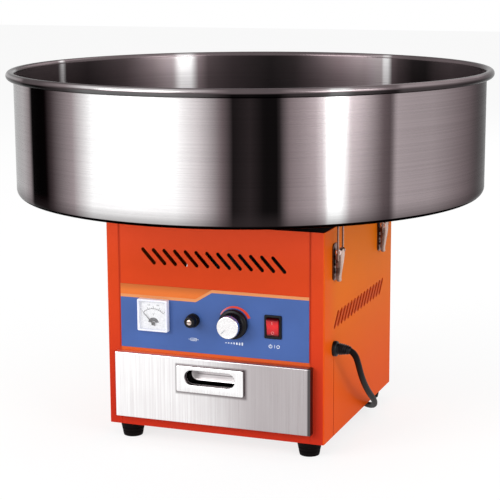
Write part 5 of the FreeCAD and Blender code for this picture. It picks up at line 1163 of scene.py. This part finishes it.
class CANDY_OT_heat_knob(bpy.types.Operator):
    """Mould the heat knob: black ribbed skirt, bright spun cap and its pointer"""
    bl_idname = "candy.heat_knob"
    bl_label = "Heat knob"

    def execute(self, context):
        where = on_front(KNOB_X, CONTROL_Z)
        profile = [(0, -9), (3, -9), (3, 0.5), (14.8, 0.5), (15.5, 1.2), (15.5, 4.5)]
        profile += arc_profile((14, 4.5), 1.5, 0, 80, 6)
        profile += [(12.8, 6.3), (11.9, 7.2), (11.3, 9.5), (11.2, 14.2), (11, 15), (0, 15)]
        rib = [(0, 0), (0.6, 0), (0.6, 6.8), (0.3, 7.2), (0, 7.2)]
        skirt = ribbed(profile, 96, rib, 8, context.scene.candy_details.knob_ribs, 11.25, 7.2, where)
        add_piece("knob_skirt", skirt, "black_plastic", "knob", "black_plastic", "knob_body")
        cap = [(0, 14.8), (11.4, 14.8), (11.75, 15.2), (11.75, 18.6)] + arc_profile((10.35, 18.6), 1.4, 0, 90, 7)
        cap += [(9.8, 19.85), (9.4, 19.6), (0, 19.6)]
        add_piece("knob_disc", [finished(turned(cap, 96), where)], "knob_silver", "knob", "knob_silver",
                  "knob_cap")
        pointer = loft([rounded(1.1, 6.2, 0.5, 4, 19), rounded(1.1, 6.2, 0.5, 4, 19.75),
                        rounded(0.9, 6, 0.4, 4, 19.85)])
        turn = Matrix.Rotation(radians(135), 4, "Z") @ shifted(0, 6.4, 0)
        add_piece("knob_pointer", [finished(pointer, where @ turn)], "pointer_ink", "knob", "knob_silver")
        return {"FINISHED"}


class CANDY_OT_switch(bpy.types.Operator):
    """Make the switch's bezel and its red rocker with the on and off marks"""
    bl_idname = "candy.switch"
    bl_label = "Rocker switch"

    def execute(self, context):
        where = on_front(SWITCH_X, CONTROL_Z)
        bezel = frame_ring((18.5, 24.5, 1.2), (13.4, 19.6, 0.5), 2, 0.8)
        well = frame_ring((16.5, 22.5, 1), (13.4, 19.6, 0.4), 10.7, 0.2)
        parts = [finished(bezel, where), finished(block(16.5, 22.5, 1, 3, -24, -10.5), where),
                 finished(well, where @ shifted(0, 0, -10.6))]
        add_piece("switch_body", parts, "black_plastic", "cabinet", "black_plastic", "switch_housing")

        tilt = Matrix.Rotation(radians(9), 4, "X")
        where = SCALE @ shifted(SWITCH_X, FACE + 0.5, CONTROL_Z) @ tilt @ FRONT_AXIS
        steps = [-1 + 2 * index / 14 for index in range(15)]
        edge = [(8.8, 3.7), (9.1, 2.6), (9.2, 0), (8.6, -3.2), (5, -4)]
        outline = [(8.5 * step, 3.4 + 0.7 * step * step) for step in steps] + edge
        outline += [(-high, deep) for high, deep in edge[::-1]]
        rings = [[Vector((across, high * (1 - inset * 0.06), deep - (inset if deep > 0 else 0)))
                  for high, deep in outline]
                 for across, inset in ((-6.4, 0.5), (-6.2, 0.2), (-5.8, 0), (5.8, 0), (6.2, 0.2), (6.4, 0.5))]
        add_piece("rocker_key", [finished(loft(rings), where)], "rocker_red", "switch_rocker", "rocker_red",
                  "rocker", sharp=40)
        low, high = 3.3, 3.95
        marks = [finished(block(0.8, 3.4, 0.3, 2, low, high), where @ shifted(0, 5.3, 0)),
                 finished(flat_arc(1.1, 1.7, 0, 360, low, high, 24), where @ shifted(0, -5.3, 0))]
        add_piece("rocker_marks", marks, "rocker_mark", "switch_rocker", "rocker_red")
        return {"FINISHED"}


class CANDY_OT_facing(bpy.types.Operator):
    """Print the control facing: its bright tab, the heat scale's arc and the plain marks under the controls"""
    bl_idname = "candy.facing"
    bl_label = "Control facing"

    def execute(self, context):
        left = reach("control_fascia", "X")[0] / MM
        outline = [(left, EDGE_LOW), (STEP_START, EDGE_LOW), (STEP_END, EDGE_HIGH), (left, EDGE_HIGH)]
        tab = loft([[Vector((*point, height)) for point in outline] for height in (-0.5, 0)])
        add_piece("facing_tab", [finished(tab, on_front(0, 0))], "tab_orange", "cabinet", "fascia")
        arc = flat_arc(16.4, 19.4, 150, 22, 0, 0.15, 48, 0.4)
        add_piece("heat_arc", [finished(arc, on_front(KNOB_X, CONTROL_Z))], "scale_ink", "cabinet", "rocker_red")

        row, thick = CONTROL_Z - 20.5, 0.12
        bars = [(FUSE_X, 1.3, 6.4, 0.5), (FUSE_X, -1.3, 6.4, 0.5), (FUSE_X - 3.2, 0, 0.5, 3),
                (FUSE_X + 3.2, 0, 0.5, 3), (FUSE_X, 0, 11.6, 0.5)]
        bars += [(KNOB_X - 9 + 3 * index, -0.4, 1.6, 0.9 + 0.4 * index) for index in range(7)]
        bars += [(SWITCH_X - 3, 1.2, 0.6, 2.4), (SWITCH_X + 1.5, 0, 0.6, 3.6)]
        marks = [finished(block(width, tall, min(width, tall) * 0.3, 2, 0, thick), on_front(x, row + up))
                 for x, up, width, tall in bars]
        for x, inner, outer, first, last in ((-3, 1.4, 2, 120, 420), (5.2, 1.2, 1.8, 0, 360)):
            marks.append(finished(flat_arc(inner, outer, first, last, 0, thick, 24), on_front(SWITCH_X + x, row)))
        add_piece("facing_marks", marks, "white_ink", "cabinet", "meter_white")
        return {"FINISHED"}


class CANDY_OT_drawer_handle(bpy.types.Operator):
    """Press the drawer's handle plate and the finger cup behind its window"""
    bl_idname = "candy.drawer_handle"
    bl_label = "Drawer handle"

    def execute(self, context):
        low, high = (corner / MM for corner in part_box("drawer_handle_plate"))
        wide, thick, tall = high - low
        x, z = (low.x + high.x) / 2, (low.z + high.z) / 2
        grip, rise = (55.5, 15.6, 7.7), 1.9
        plate = frame_ring((wide, tall, 2.2), grip, thick, 1.4, 8, rise)
        add_piece("handle_plate", [finished(plate, on_front(x, z, high.y))], "handle_steel", "drawer",
                  "drawer_steel", "drawer_handle_plate")

        # outlines up the cup's outside, over its lip and down its inside to the middle of its floor
        wall, back, middle = 0.8, 12.6, grip[1] / 2 - 0.2
        steps = [(-back - wall, middle), (-back - wall, 1.6), (-back + 1.2, -wall), (0, -wall), (0, 0),
                 (-back + 2.4, 0), (-back + 0.6, 0.8), (-back, 2.6), (-back, middle)]
        cup = loft([rounded(*grip, 8, height, inset) for height, inset in steps], closed=True)
        add_piece("finger_cup", [finished(cup, on_front(x, z + rise, high.y + thick))], "hollow_steel", "drawer",
                  "drawer_steel", "drawer_finger_cup")
        return {"FINISHED"}


class CANDY_OT_feet(bpy.types.Operator):
    """Turn the four rubber feet with their grip grooves"""
    bl_idname = "candy.feet"
    bl_label = "Feet"

    def execute(self, context):
        low, high = (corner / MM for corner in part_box("rubber_feet"))
        radius = 13.5
        profile = [(4.6, 0), (9, 0), (10.1, 0.4), (10.5, 1.4), (11.2, 5), (10.8, 5.3), (10.9, 5.9), (11.4, 6.2),
                   (12, 9), (11.6, 9.3), (11.7, 9.9), (12.2, 10.2), (13.2, 14.8), (radius, 15.4), (radius, 16),
                   (2.4, 16), (2.4, 6), (4.6, 6)]
        parts = [finished(turned(profile, 48, True), SCALE @ shifted(x, y, 0))
                 for x in (low.x + radius, high.x - radius) for y in (low.y + radius, high.y - radius)]
        add_piece("feet", parts, "black_rubber", "cabinet", "black_rubber", "rubber_feet")
        return {"FINISHED"}


PIN_HALF = [(1.2, 7.02), (3.2, 7.02), (3.2, 7.14), (2.9, 7.22), (1.5, 7.22), (1, 7.06), (0, 7.06)]
# The lever from its head to its tip: height over the pin, half width, distance of its face and of its open side.
LEVER = [(2.9, 3.5, 7.2, 6), (2.4, 5.6, 8.3, 5.6), (1.2, 6.6, 8.8, 3.4), (-1, 7, 9, 3.1), (-5, 7, 9, 3.1),
         (-9.5, 6.4, 8.7, 3.1), (-14, 5.6, 8.2, 3.1), (-20, 4.9, 7.4, 3.1), (-25.5, 4.6, 6.6, 3.2),
         (-28, 4.7, 6.4, 3.3), (-29.6, 4.7, 6.6, 3.6), (-30.6, 4.3, 6.8, 4.3), (-31, 3.6, 6.7, 4.8)]


class CANDY_OT_latches(bpy.types.Operator):
    """Press the four draw latches: base plates with rivets, and channel levers with rounded heads"""
    bl_idname = "candy.latches"
    bl_label = "Latches"

    def execute(self, context):
        bases, rivets, pins = [], [], []
        for side, name in ((1, "right_front"), (1, "right_rear"), (-1, "left_front"), (-1, "left_rear")):
            y = sum(reach(f"latch_lever_{name}", "Y")) / 2 / MM
            where = on_side(side, y, LATCH_PIVOT_Z)
            plate = loft(plate_rings((16.8, 38, 5), 1.2, 0.4))
            bases.append(finished(plate, where @ shifted(0, -11, 0)))
            bases += [finished(self.ear(), where @ shifted(ear * side, 0, 0)) for ear in (-3.6, 3.6)]
            pin = turned([(radius, -height) for radius, height in PIN_HALF[::-1]] + PIN_HALF, 24)
            pins.append(finished(pin, SCALE @ shifted(SKIN[side] / MM + side * 6, y, LATCH_PIVOT_Z) @ FRONT_AXIS))
            rivets += [(where @ Vector((0, -drop, 1.1)), (side, 0, 0)) for drop in (16, 24)]
            add_piece(f"lever_{name}_skin", [finished(self.lever(), where)], "latch_steel", f"lever_{name}",
                      "latch_steel", f"latch_lever_{name}", sharp=38)
        radius = context.scene.candy_details.rivet_radius
        heads = heads_at(rivets, radius, radius * 0.45, "plate_steel")
        add_piece("latch_plates", bases, "plate_steel", "cabinet", "latch_steel", "latch_bases", sharp=38)
        add_piece("latch_pins", pins, "pin_steel", "cabinet", "latch_steel")
        add_piece("rivet_heads", [heads], "plate_steel", "cabinet", "steel_fasteners", sharp=60)
        return {"FINISHED"}

    def ear(self):
        """One ear of a base plate: its leg comes up to the pin from below, clear of the opened lever's head."""
        outline = [(-9.2, 0.6), (-8, 3), (-3.6, 5.4)]
        outline += [(1.7 * sin(turn), 6 + 1.7 * cos(turn)) for turn in map(radians, range(-75, 226, 20))]
        outline += [(-3, 3.8), (-5.6, 2.2), (-6.4, 0.6)]
        return loft([[Vector((across, high, deep)) for high, deep in outline] for across in (-0.6, 0.6)])

    def lever(self):
        """A channel lever, open towards the panel, with a rounded head and a tip that leans in."""
        rings, wall = [], 1.2
        for high, half, face, deep in LEVER:
            bend = min(2.2, half * 0.5, max(face - deep - 0.2, 0.3))
            corner = [(half - bend + bend * sin(turn), face - bend + bend * cos(turn))
                      for turn in map(radians, (0, 30, 60, 90))]
            floor = max(face - wall, deep + 0.2)
            soft = max(bend - wall * 0.5, 0.2)
            inner = [(half - wall, deep), (half - wall, floor - soft), (half - wall - soft, floor)]
            right = corner + [(half, deep)] + inner
            outline = [(-across, out) for across, out in right[4::-1]] + right
            outline += [(-across, out) for across, out in inner[::-1]]
            rings.append([Vector((across, high, out)) for across, out in outline])
        return loft(rings)


# ---------------------------------------------------------------- add-on
SETTINGS = {"candy_paint": CandyPaint, "candy_cord": CandyCord, "candy_details": CandyDetails}
STEPS = [CANDY_OT_stage, CANDY_OT_dress, CANDY_OT_power_cord, CANDY_OT_bowl, CANDY_OT_voltmeter, CANDY_OT_fuse,
         CANDY_OT_heat_knob, CANDY_OT_switch, CANDY_OT_facing, CANDY_OT_drawer_handle, CANDY_OT_feet,
         CANDY_OT_latches]


class CANDY_PT_machine(bpy.types.Panel):
    """Builds the machine step by step"""
    bl_label = "Cotton candy machine"
    bl_idname = "CANDY_PT_machine"
    bl_space_type = "VIEW_3D"
    bl_region_type = "UI"
    bl_category = "Candy"

    def draw(self, context):
        for name in SETTINGS:
            group = getattr(context.scene, name)
            box = self.layout.box()
            for label in group.bl_rna.properties.keys():
                if label not in ("rna_type", "name"):
                    box.prop(group, label)
        for step in STEPS:
            self.layout.operator(step.bl_idname)


CLASSES = [*SETTINGS.values(), *STEPS, CANDY_PT_machine]


def register():
    """Adds the classes and the settings."""
    for item in CLASSES:
        bpy.utils.register_class(item)
    for name, group in SETTINGS.items():
        setattr(bpy.types.Scene, name, PointerProperty(type=group))


def unregister():
    """Takes the settings and the classes away again."""
    for name in SETTINGS:
        delattr(bpy.types.Scene, name)
    for item in CLASSES[::-1]:
        bpy.utils.unregister_class(item)


def main():
    """Builds the whole machine."""
    register()
    for step in STEPS:
        getattr(bpy.ops.candy, step.bl_idname.split(".")[1])()


if __name__ == "__main__":
    main()
